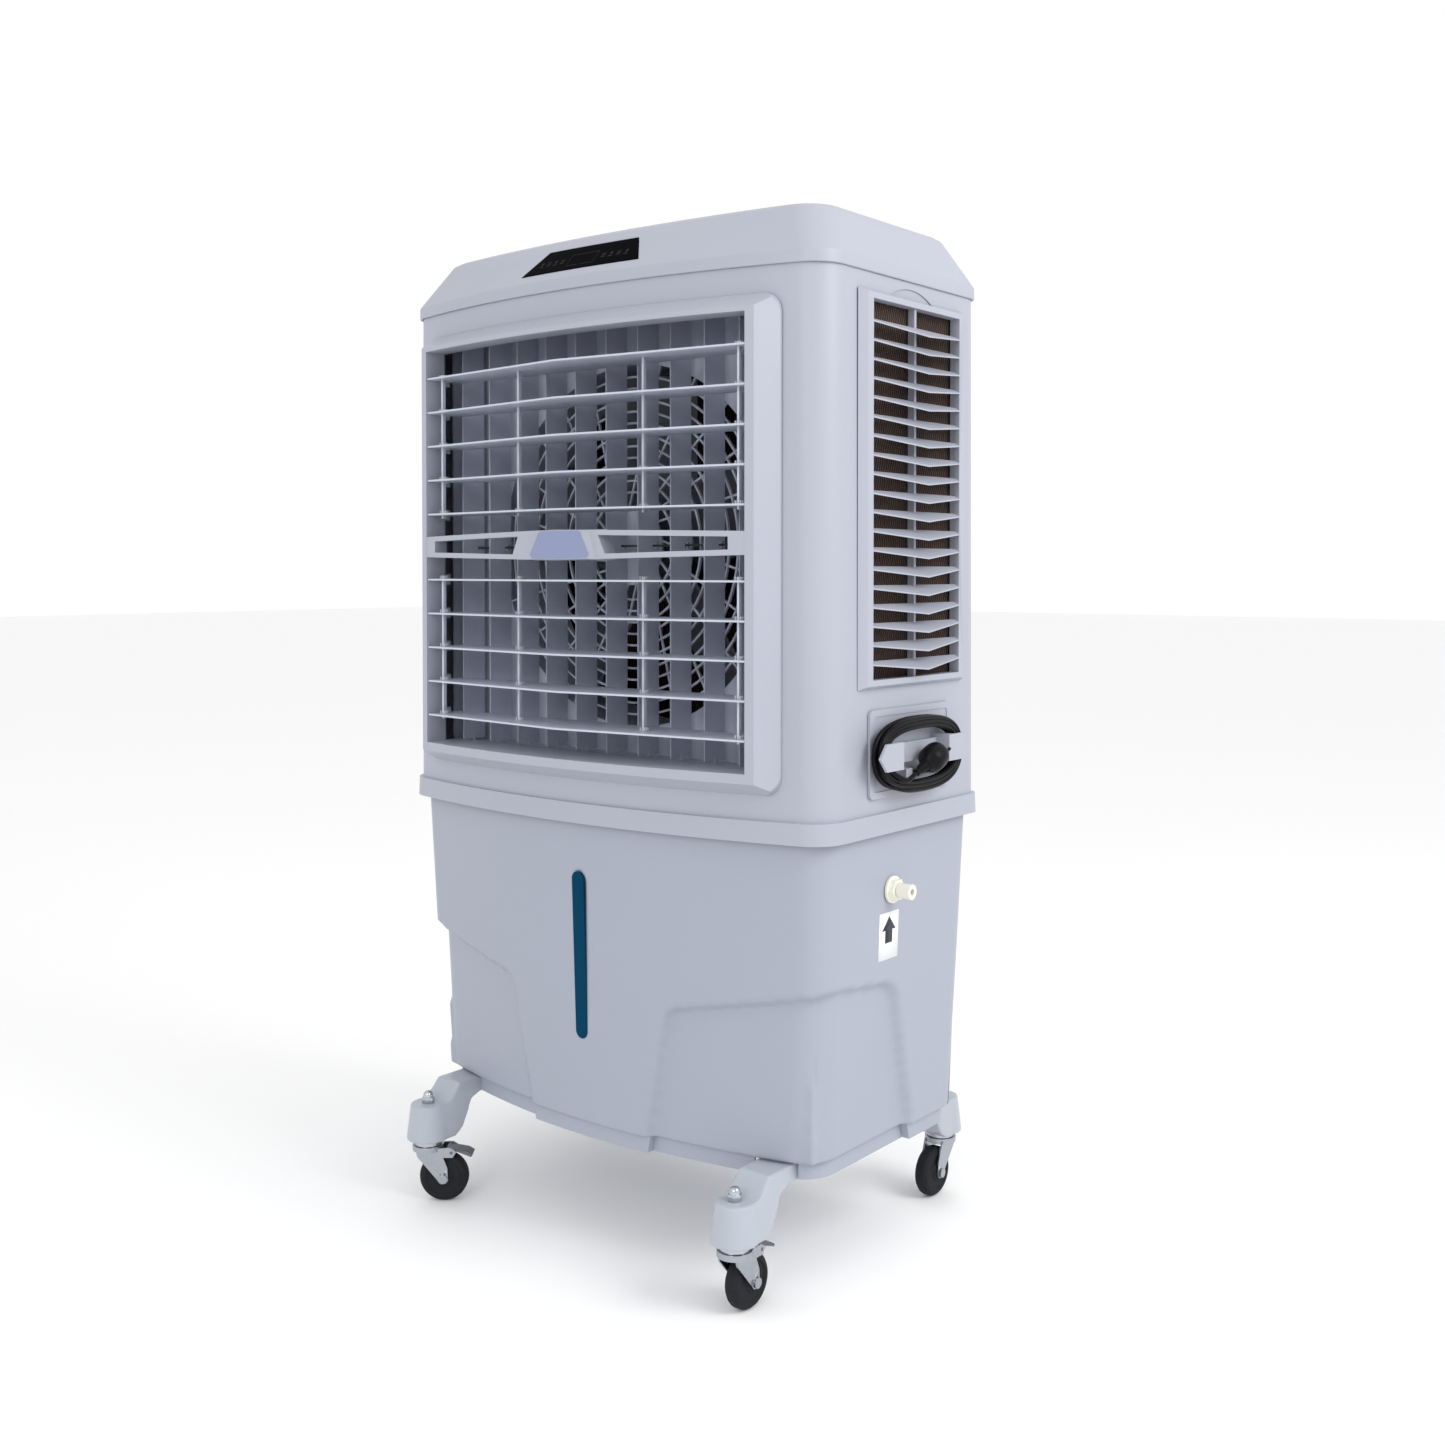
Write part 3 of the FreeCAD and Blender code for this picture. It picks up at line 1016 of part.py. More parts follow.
def make_cord_plate():
    y0, y1 = PLATE_MID_Y - PLATE_W / 2, PLATE_MID_Y + PLATE_W / 2
    plate = rounded_rect_yz(y0, y1, PLATE_BOTTOM, PLATE_BOTTOM + PLATE_H, 8.0, SIDE_FACE, PLATE_FACE)
    groove = rounded_rect_yz(y0 + 9, y1 - 9, PLATE_BOTTOM + 9, PLATE_BOTTOM + PLATE_H - 9, 5.0,
                             PLATE_FACE - 1.2, PLATE_FACE + 1)
    plate = plate.cut(groove)
    seat = PLATE_FACE - 1.2
    z0, z1 = CLEAT_Z - CLEAT_H / 2, CLEAT_Z + CLEAT_H / 2
    pieces = [plate, box(seat - 0.5, PLATE_FACE + CLEAT_BAR_PROUD, CLEAT_MID_Y - CLEAT_POST_HALF,
                         CLEAT_MID_Y + CLEAT_POST_HALF, z0 + 5, z1 - 5)]
    for side in (-1, 1):
        inner = CLEAT_MID_Y + side * CLEAT_POST_HALF
        outer = inner + side * CLEAT_POST_W
        tip = CLEAT_MID_Y + side * CLEAT_TIP_HALF
        a, b = sorted((inner, outer))
        pieces.append(box(seat - 0.5, PLATE_FACE + CLEAT_HEIGHT, a, b, z0, z1))
        flare = [(inner, z0), (tip - side * 16, z0), (tip, CLEAT_Z), (tip - side * 16, z1), (inner, z1)]
        pieces.append(prism_yz(flare, PLATE_FACE + CLEAT_HEIGHT - CLEAT_T, PLATE_FACE + CLEAT_HEIGHT))
    plate = fuse(pieces)
    gland = box(seat, CORD_X + 6, GLAND_Y - 16, GLAND_Y, GLAND_Z - 5.6, GLAND_Z + 5.6)
    return Part.makeCompound([plate, gland])


def stadium(half_w, half_h, x0, x1):
    """Flat-sided oval in the YZ plane."""
    flat = half_w - half_h
    y = PLATE_MID_Y - 5.0
    return fuse([box(x0, x1, y - flat, y + flat, COIL_Z - half_h, COIL_Z + half_h),
                 rod((x0, y - flat, COIL_Z), (x1, y - flat, COIL_Z), half_h),
                 rod((x0, y + flat, COIL_Z), (x1, y + flat, COIL_Z), half_h)])


def make_cord_coil():
    return stadium(COIL_HALF_W, COIL_HALF_H, COIL_X0, COIL_X1).cut(
        stadium(COIL_HALF_W - COIL_BAND, COIL_HALF_H - COIL_BAND, COIL_X0 - 1, COIL_X1 + 1))


def round_path(points):
    """Straight runs joined by tangent arcs, each as large as its two runs allow."""
    points = [Vec(*p) for p in points]
    edges, last = [], points[0]
    for before, corner, after in zip(points, points[1:], points[2:]):
        into, out = (corner - before), (after - corner)
        turn = into.getAngle(out)
        shorter = min(into.Length, out.Length)
        trim = 0.45 * shorter
        radius = trim / math.tan(turn / 2)
        start = corner - into.normalize() * trim
        end = corner + out.normalize() * trim
        bisector = ((start - corner) + (end - corner)).normalize()
        middle = corner + bisector * (math.hypot(radius, trim) - radius)
        edges.append(Part.LineSegment(last, start).toShape())
        edges.append(Part.Arc(start, middle, end).toShape())
        last = end
    edges.append(Part.LineSegment(last, points[-1]).toShape())
    return Part.Wire(edges)


def cord_tube(points):
    wire = round_path(points)
    first, second = Vec(*points[0]), Vec(*points[1])
    ring = Part.Wire(Part.makeCircle(CORD_D / 2, first, second - first))
    return wire.makePipeShell([ring], True, False)


PLUG_R = 19.0
PLUG_NECK = (PLATE_FACE + 30.0, -34.0, 695.0)
PLUG_HEAD = (PLATE_FACE + 32.0, 14.0, 715.0)


def make_cord_lead():
    """From the gland down to the coil's inner face."""
    x = CORD_X
    lead = cord_tube([(x, GLAND_Y, GLAND_Z), (x, GLAND_Y + 16, GLAND_Z), (x + 2, GLAND_Y + 38, GLAND_Z - 14)])
    return lead.cut(make_cord_coil())


def make_cord_tail():
    """From the plug's neck back to the coil's front face."""
    neck, head = Vec(*PLUG_NECK), Vec(*PLUG_HEAD)
    away = (neck - head).normalize()
    bend = neck + away * 14
    tail = cord_tube([tuple(neck), tuple(bend), (COIL_X1 - 5, bend.y - 20, bend.z - 7)])
    return tail.cut(make_cord_coil())


def make_plug():
    neck, head = Vec(*PLUG_NECK), Vec(*PLUG_HEAD)
    along = (head - neck).normalize()
    face = head + along * 12
    pieces = [Part.makeCone(5.0, 8.0, 22.0, neck, along),
              Part.makeCone(8.0, PLUG_R, 14.0, neck + along * 22, along),
              Part.makeCylinder(PLUG_R, (face - neck).Length - 35.9, neck + along * 35.9, along)]
    for side in (-1, 1):
        foot = face + Vec(side * 9.5, 0, 0) - along * 2
        pieces.append(Part.makeCylinder(2.4, 14.0, foot, along))
    return fuse(pieces)


# ---------------------------------------------------------------- build
def build():
    heights = slat_heights()
    NODES["upper_casing"] = make_casing()
    NODES["top_cap"] = make_cap()
    NODES["control_panel"] = make_control_panel()
    NODES["louvre_frame"] = make_louvre_frame()
    for i, z in enumerate(heights):
        NODES["slat_%02d" % (i + 1)] = make_slat(z)
    NODES["slat_link_upper"] = make_slat_link(heights[:SLATS_PER_HALF])
    NODES["slat_link_lower"] = make_slat_link(heights[SLATS_PER_HALF:])
    for i, x in enumerate(fin_places()):
        NODES["fin_%02d" % (i + 1)] = make_fin(x)
    NODES["fin_link_bar"] = make_fin_bar()
    NODES["swing_motor"] = make_swing_motor()
    NODES["fan_guard"] = make_fan_guard()
    NODES["fan"] = make_fan()
    NODES["fan_motor"] = make_fan_motor()
    side = make_cover(SIDE_COVER_MID, SIDE_COVER_W, SIDE_COVER_BOTTOM, SIDE_COVER_TOP, SIDE_SLATS, 1)
    NODES["side_cover_right"] = side
    NODES["side_cover_left"] = mirror_x(side)
    rear = make_cover(0.0, REAR_COVER_W, REAR_COVER_BOTTOM, REAR_COVER_TOP, REAR_SLATS, 5)
    NODES["rear_cover"] = moved(turned(rear, 90), 0, REAR_FACE - SIDE_FACE, 0)
    NODES["cooling_pads"] = make_pads()
    NODES["water_distributor"] = make_distributor()
    NODES["water_tank"] = make_tank()
    NODES["level_window"] = make_level_window()
    NODES["inlet_valve"] = make_inlet()
    NODES["drain_plug"] = make_drain()
    NODES["pump"] = make_pump()
    NODES["base_frame"] = make_base()
    NODES["legs"] = Part.makeCompound([make_leg(x, y) for x, y in leg_places()])
    NODES["caster_mounts"] = Part.makeCompound(
        [piece for x, y in leg_places() for piece in make_caster_mount(x, y)])
    for name, (x, y, heading, brake) in CASTERS.items():
        NODES["caster_fork_" + name] = place_caster(make_fork(brake), x, y, heading)
        NODES["caster_wheel_" + name] = place_caster(make_wheel(), x, y, heading)
        if brake:
            NODES["brake_pedal_" + name] = place_caster(make_pedal(), x, y, heading)
    NODES["cord_plate"] = make_cord_plate()
    NODES["cord_coil"] = make_cord_coil()
    NODES["cord_lead"] = make_cord_lead()
    NODES["cord_tail"] = make_cord_tail()
    NODES["plug"] = make_plug()


def export():
    os.makedirs("parts", exist_ok=True)
    for name, shape in NODES.items():
        solids = shape.Solids
        ok = shape.isValid() and all(s.Volume > 0 for s in solids)
        if not ok:
            print("CHECK", name, "valid", shape.isValid(), "solids", len(solids))
        Part.makeCompound(solids).exportStep("parts/%s.step" % name)
    print(len(NODES), "nodes")


build()
export()
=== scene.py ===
"""Portable evaporative air cooler: finishes, soft and fine pieces, light and camera."""
import math

import bmesh
import bpy
from bpy.props import FloatProperty, FloatVectorProperty, IntProperty, PointerProperty
from mathutils import Matrix, Vector


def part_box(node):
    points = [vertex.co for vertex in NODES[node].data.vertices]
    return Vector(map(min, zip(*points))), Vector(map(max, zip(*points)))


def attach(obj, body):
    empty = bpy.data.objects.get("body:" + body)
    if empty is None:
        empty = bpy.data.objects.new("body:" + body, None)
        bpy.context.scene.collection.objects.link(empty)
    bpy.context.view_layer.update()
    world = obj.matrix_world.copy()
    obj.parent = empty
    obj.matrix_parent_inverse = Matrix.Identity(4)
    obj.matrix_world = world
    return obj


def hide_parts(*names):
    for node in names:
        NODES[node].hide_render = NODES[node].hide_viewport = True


bl_info = {
    "name": "Portable air cooler",
    "version": (1, 0, 0),
    "blender": (4, 5, 0),
    "location": "View3D > Sidebar > Cooler",
    "description": "Dresses the packed air cooler: plastics, pads, supply cord, stage",
    "category": "Object",
}

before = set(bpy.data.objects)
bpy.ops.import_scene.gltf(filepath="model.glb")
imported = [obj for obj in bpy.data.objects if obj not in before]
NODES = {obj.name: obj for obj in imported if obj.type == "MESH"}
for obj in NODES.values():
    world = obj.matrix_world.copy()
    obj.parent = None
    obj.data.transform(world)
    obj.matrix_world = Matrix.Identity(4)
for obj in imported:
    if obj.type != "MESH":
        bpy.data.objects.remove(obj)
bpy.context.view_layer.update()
MM = 0.001

SLATS = ["slat_%02d" % (i + 1) for i in range(10)]
SLAT_GROUPS = {"slat_link_upper": SLATS[:5], "slat_link_lower": SLATS[5:]}
FINS = ["fin_%02d" % (i + 1) for i in range(11)]
CASTERS = ["front_left", "front_right", "rear_left", "rear_right"]
BRAKED = CASTERS[:2]

EDGE_ANGLE = math.radians(32)   # corners flatter than this are left as they are
AHEAD, BESIDE = -0.6, 0.8       # y well in front of the cabinet, x well to its right


# ---------------------------------------------------------------- settings
class ShellSettings(bpy.types.PropertyGroup):
    """Moulded plastic pieces."""
    shell_colour: FloatVectorProperty(
        name="Shell colour", description="Cabinet, tank and louvres", subtype="COLOR", size=3,
        min=0.0, max=1.0, default=(0.375, 0.392, 0.456))
    leg_colour: FloatVectorProperty(
        name="Leg colour", description="Legs under the tank", subtype="COLOR", size=3,
        min=0.0, max=1.0, default=(0.40, 0.435, 0.49))
    edge: FloatProperty(
        name="Edge radius", description="Rounding of the moulded edges", unit="LENGTH",
        min=0.0, max=0.01, default=1.2 * MM)
    grain: FloatProperty(
        name="Grain", description="Depth of the moulded surface texture", unit="LENGTH",
        min=0.0, max=0.001, default=0.03 * MM)


class CordSettings(bpy.types.PropertyGroup):
    """Supply cord wound on its cleat."""
    turns: IntProperty(
        name="Turns a layer", description="Turns in each of the coil's two layers",
        min=1, max=4, default=3)
    diameter: FloatProperty(
        name="Diameter", description="Outside diameter of the cord", unit="LENGTH",
        min=0.003, max=0.012, default=7.0 * MM)
    pitch: FloatProperty(
        name="Turn pitch", description="Distance between neighbouring turns", unit="LENGTH",
        min=0.003, max=0.02, default=7.6 * MM)


class StageSettings(bpy.types.PropertyGroup):
    """Floor, light and camera."""
    floor_colour: FloatVectorProperty(
        name="Floor colour", description="Plain pale floor", subtype="COLOR", size=3,
        min=0.0, max=1.0, default=(0.93, 0.93, 0.93))
    room_light: FloatProperty(
        name="Room light", description="Strength of the even light all round",
        min=0.0, max=5.0, default=1.0)
    eye: FloatVectorProperty(
        name="Camera place", description="Where the camera stands", subtype="TRANSLATION", size=3,
        default=(1.5338, -1.8445, 0.9715))
    heading: FloatProperty(
        name="Camera heading", description="Turn of the camera to the left of straight on",
        subtype="ANGLE", default=math.radians(38.4))
    tilt: FloatProperty(
        name="Camera tilt", description="How far the camera looks down", subtype="ANGLE",
        default=math.radians(1.1))
    lens: FloatProperty(name="Lens", description="Focal length in millimetres", default=38.65)
    rise: FloatProperty(name="Lens shift", description="Upright shift of the lens", default=-0.085)


SETTINGS = {
    "cooler_shell": ShellSettings,
    "cooler_cord": CordSettings,
    "cooler_stage": StageSettings,
}


# ---------------------------------------------------------------- shader helpers
class Value:
    """A shader value; arithmetic on it adds Math nodes."""

    def __init__(self, look, socket):
        self.look = look
        self.socket = socket

    def _math(self, operation, first, second):
        return self.look.node("ShaderNodeMath", {"operation": operation}, {0: first, 1: second})

    def __add__(self, other):
        return self._math("ADD", self, other)

    __radd__ = __add__

    def __mul__(self, other):
        return self._math("MULTIPLY", self, other)

    __rmul__ = __mul__

    def __sub__(self, other):
        return self._math("SUBTRACT", self, other)

    def __rsub__(self, other):
        return self._math("SUBTRACT", other, self)


class Look:
    """One material and the nodes that make it."""

    def __init__(self, name, colour, roughness, metallic=0.0, gloss=0.5):
        self.material = bpy.data.materials.new(name)
        self.material.use_nodes = True
        self.tree = self.material.node_tree
        self.shader = self.tree.nodes["Principled BSDF"]
        self.set("Base Color", (*colour, 1.0))
        self.set("Roughness", roughness)
        self.set("Metallic", metallic)
        self.set("IOR", 1.0 + gloss)
        self.material.diffuse_color = (*colour, 1.0)

    def node(self, kind, settings=None, inputs=None, output=0):
        made = self.tree.nodes.new(kind)
        for key, value in (settings or {}).items():
            if key == "stops":
                self._stops(made.color_ramp, value)
            else:
                setattr(made, key, value)
        for key, value in (inputs or {}).items():
            self._feed(made.inputs[key], value)
        return Value(self, made.outputs[output])

    def _stops(self, ramp, stops):
        while len(ramp.elements) < len(stops):
            ramp.elements.new(0.5)
        for element, (place, colour) in zip(ramp.elements, stops):
            element.position = place
            element.color = colour

    def _feed(self, socket, value):
        if isinstance(value, Value):
            self.tree.links.new(value.socket, socket)
        else:
            socket.default_value = value

    def set(self, name, value):
        self._feed(self.shader.inputs[name], value)

    def place(self):
        return self.node("ShaderNodeTexCoord", output="Object")

    def noise(self, scale, detail=2.0, roughness=0.5):
        return self.node("ShaderNodeTexNoise", {}, {
            "Vector": self.place(), "Scale": scale, "Detail": detail, "Roughness": roughness})

    def mix(self, factor, low, high):
        return self.node("ShaderNodeMix", {"data_type": "RGBA"}, {
            0: factor, 6: (*low, 1.0), 7: (*high, 1.0)}, output=2)

    def bump(self, height, distance):
        self.set("Normal", self.node("ShaderNodeBump", {}, {
            "Height": height, "Distance": distance, "Strength": 1.0}))


def scaled(colour, share):
    """The colour, darker with a share under 1 and lighter with one over it."""
    return tuple(c * share for c in colour)


def swing(noise, middle, spread):
    """A value that follows the noise, as far above middle as below it."""
    return (noise - 0.5) * spread + middle


def plastic(name, colour, roughness, grain, spread=0.06, gloss=0.4):
    """Moulded plastic with a fine grain and a hardly visible change of tone."""
    look = Look(name, colour, roughness, gloss=gloss)
    tone = look.noise(2.4, 3.0)
    dull, bright = scaled(colour, 1.0 - spread), scaled(colour, 1.0 + spread / 3)
    look.set("Base Color", look.mix(tone, dull, bright))
    smear = look.noise(9.0, 4.0, 0.6)
    look.set("Roughness", swing(smear, roughness, 0.14))
    if grain:
        look.bump(look.noise(900.0, 2.0), grain)
    return look.material


def metal(name, colour, roughness, spread=0.12):
    """Bare or plated metal, a little cloudy."""
    look = Look(name, colour, roughness, metallic=1.0)
    cloud = look.noise(60.0, 4.0, 0.6)
    look.set("Base Color", look.mix(cloud, scaled(colour, 1.0 - spread), colour))
    look.set("Roughness", swing(cloud, roughness, 0.2))
    look.bump(look.noise(400.0, 3.0), 0.04 * MM)
    return look.material


def rubber(name, colour, roughness, scale=300.0):
    """Dark rubber or soft sheath with a little dust on it."""
    look = Look(name, colour, roughness, gloss=0.2)
    dust = look.noise(30.0, 5.0, 0.65)
    look.set("Base Color", look.mix(dust, colour, scaled(colour, 1.8)))
    look.set("Roughness", swing(dust, roughness, 0.16))
    look.bump(look.noise(scale, 3.0), 0.08 * MM)
    return look.material


def cellulose(name):
    """Sheets of wet cellulose on edge: upright flutes that lean one way, then the other."""
    # The wet colour marks real wet stains and is also the painted shade in the flute troughs.
    dry, wet = (0.115, 0.080, 0.066), (0.016, 0.012, 0.012)
    lean_height, flute_pitch, flute_depth = (v * MM for v in (14.0, 5.5, 2.0))
    lean = 0.35
    look = Look(name, dry, 0.92, gloss=0.2)
    parts = look.node("ShaderNodeSeparateXYZ", {}, {0: look.place()})
    x, y, z = (Value(look, socket) for socket in parts.socket.node.outputs)
    sheet = look.node("ShaderNodeMath", {"operation": "PINGPONG"}, {0: z, 1: lean_height})
    flute = (x + y + sheet * lean) * (2 * math.pi / flute_pitch)
    wave = look.node("ShaderNodeMath", {"operation": "SINE"}, {0: flute}) * 0.5 + 0.5
    stain = look.noise(14.0, 5.0, 0.6)
    stops = [(0.15, (*wet, 1.0)), (0.9, (*dry, 1.0))]
    # Colour follows the flute wave as well as the stains: the flute troughs are painted darker,
    # painted shade in the hollows.
    shade = look.node("ShaderNodeValToRGB", {"stops": stops}, {0: wave * 0.6 + stain * 0.4})
    look.set("Base Color", shade)
    look.bump(wave, flute_depth)
    return look.material


LOOKS = {}


def make_looks():
    """Every finish on the cooler, under the name the pieces ask for."""
    scene = bpy.context.scene
    shell, legs = tuple(scene.cooler_shell.shell_colour), tuple(scene.cooler_shell.leg_colour)
    tank_shade_and_tint = (0.90, 0.93, 0.945)    # the tank is the cabinet's plastic made darker, painted shade for its low place, and a little bluer
    tank = tuple(c * share for c, share in zip(shell, tank_shade_and_tint))
    grain = scene.cooler_shell.grain
    LOOKS.update({
        "shell": plastic("Cabinet plastic", shell, 0.42, grain),
        # Louvres, fins and guard are the cabinet's plastic made lighter: painted light, standing in
        # for light that reaches into the shaded outlet.
        "louvre": plastic("Louvre plastic", scaled(shell, 1.35), 0.38, grain),
        "fin": plastic("Fin plastic", scaled(shell, 1.5), 0.42, grain),
        "guard": plastic("Guard plastic", scaled(shell, 1.5), 0.45, grain),
        "tank": plastic("Tank plastic", tank, 0.40, grain),
        "leg": plastic("Leg plastic", legs, 0.30, 0.0),
        "white": plastic("White plastic", (0.60, 0.61, 0.64), 0.4, 0.0),
        "fan": plastic("Fan plastic", (0.10, 0.105, 0.12), 0.5, 0.0),
        "badge": plastic("Plaque plastic", (0.245, 0.275, 0.43), 0.4, 0.0, gloss=0.3),
        "dark": plastic("Dark plastic", (0.045, 0.047, 0.052), 0.45, grain),
        "ivory": plastic("Ivory plastic", (0.80, 0.79, 0.70), 0.38, 0.0),
        "panel": Look("Panel gloss", (0.003, 0.003, 0.004), 0.3, gloss=0.03).material,
        "icon": Look("Panel print", (0.03, 0.03, 0.033), 0.4, gloss=0.03).material,
        "level": plastic("Level window plastic", (0.004, 0.05, 0.105), 0.3, 0.0,
                         spread=0.25, gloss=0.05),
        "pad": cellulose("Pad cellulose"),
        "tyre": rubber("Wheel rubber", (0.012, 0.013, 0.015), 0.62),
        "cord": rubber("Cord sheath", (0.003, 0.003, 0.004), 0.30, 700.0),
        "plug": rubber("Plug rubber", (0.004, 0.004, 0.005), 0.34, 500.0),
        "zinc": metal("Zinc plate", (0.42, 0.44, 0.48), 0.28),
        "chrome": metal("Bright nut", (0.50, 0.52, 0.56), 0.16, 0.05),
        "steel": metal("Painted steel", (0.20, 0.21, 0.23), 0.45),
        "pedal": metal("Pedal plate", (0.16, 0.17, 0.19), 0.40),
        "label": Look("Label film", (0.84, 0.85, 0.86), 0.5).material,
        "ink": Look("Label ink", (0.012, 0.016, 0.04), 0.5).material,
    })


# ---------------------------------------------------------------- mesh helpers
def round_edges(obj, edge, segments=2):
    """Rounds a piece's corners and shades it smoothly over them."""
    for face in obj.data.polygons:
        face.use_smooth = True
    bevel = obj.modifiers.new("Rounded edges", "BEVEL")
    bevel.width = edge
    bevel.segments = segments
    bevel.limit_method = "ANGLE"
    bevel.angle_limit = EDGE_ANGLE
    normals = obj.modifiers.new("Even faces", "WEIGHTED_NORMAL")
    normals.keep_sharp = False


def dress(node, look, edge=0.0, segments=2):
    """Gives a CAD piece its finish and, with an edge, rounds its corners."""
    obj = NODES[node]
    obj.data.materials.clear()
    obj.data.materials.append(LOOKS[look])
    if edge > 0:
        weld = obj.modifiers.new("Join corners", "WELD")
        weld.merge_threshold = 0.01 * MM
        round_edges(obj, edge, segments)
    return obj


def show(name, data):
    """Puts a mesh, curve, light or camera into the scene as an object."""
    obj = bpy.data.objects.new(name, data)
    bpy.context.scene.collection.objects.link(obj)
    return obj


def piece(name, mesh, look, body, edge=0.0):
    """A new piece of the cooler that rides on a CAD body."""
    for face in mesh.polygons:
        face.use_smooth = True
    mesh.materials.append(LOOKS[look])
    obj = show(name, mesh)
    if edge > 0:
        round_edges(obj, edge)
    bpy.context.view_layer.update()
    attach(obj, body)
    return obj


def mesh_from(name, build):
    """Mesh filled by a function that works on an empty bmesh."""
    work = bmesh.new()
    build(work)
    bmesh.ops.recalc_face_normals(work, faces=work.faces)
    mesh = bpy.data.meshes.new(name)
    work.to_mesh(mesh)
    work.free()
    return mesh


def add_block(work, centre, size):
    matrix = Matrix.Translation(centre) @ Matrix.Diagonal((*size, 1.0))
    bmesh.ops.create_cube(work, size=1.0, matrix=matrix)


def add_rod(work, start, end, radius, sides):
    start, end = Vector(start), Vector(end)
    along = end - start
    turn = along.to_track_quat("Z", "Y").to_matrix().to_4x4()
    bmesh.ops.create_cone(
        work, cap_ends=True, segments=sides, radius1=radius, radius2=radius, depth=along.length,
        matrix=Matrix.Translation((start + end) / 2) @ turn)


def join_rings(work, under, over):
    """One band of faces between two closed rings of points."""
    for i in range(len(under)):
        j = (i + 1) % len(under)
        work.faces.new((under[i], under[j], over[j], over[i]))


def add_turned(work, start, along, profile, sides=48):
    """Solid of revolution: profile is (distance along, radius) pairs from end to end."""
    along = Vector(along).normalized()
    turn = along.to_track_quat("Z", "Y")
    rings = []
    for reach, radius in profile:
        ring = []
        for i in range(sides):
            a = 2 * math.pi * i / sides
            spoke = turn @ Vector((radius * math.cos(a), radius * math.sin(a), reach))
            ring.append(work.verts.new(Vector(start) + spoke))
        rings.append(ring)
    for low, high in zip(rings, rings[1:]):
        join_rings(work, low, high)
    work.faces.new(list(reversed(rings[0])))
    work.faces.new(rings[-1])


def add_plate(work, outline, out, thick):
    """Thin plate from points on a surface, raised along out."""
    out = Vector(out).normalized() * thick
    low = [work.verts.new(Vector(p)) for p in outline]
    high = [work.verts.new(Vector(p) + out) for p in outline]
    work.faces.new(list(reversed(low)))
    work.faces.new(high)
    join_rings(work, low, high)


def rectangle(half_width, half_height):
    """Corners of a rectangle about its own middle."""
    return [(-half_width, -half_height), (half_width, -half_height),
            (half_width, half_height), (-half_width, half_height)]


def on_surface(node, start, direction):
    """Where a line from start first meets a piece, and the surface's normal there."""
    obj = NODES[node] if node in NODES else bpy.data.objects[node]
    hit, place, normal, _ = obj.ray_cast(Vector(start), Vector(direction))
    if not hit:
        raise RuntimeError("nothing of %s lies that way" % node)
    return place, normal


def averaged(before, here, after):
    return (before + 2 * here + after) / 4


def softened(grid):
    """Rows that each close on themselves, every value averaged with its neighbours."""
    wide = [[averaged(row[i - 1], row[i], row[(i + 1) % len(row)]) for i in range(len(row))]
            for row in grid]
    middle = [[averaged(*three) for three in zip(*rows)] for rows in zip(wide, wide[1:], wide[2:])]
    return [wide[0]] + middle + [wide[-1]]


def box_of(node):
    """Lowest and highest corners of a CAD piece at rest."""
    low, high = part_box(node)
    return Vector(low), Vector(high)


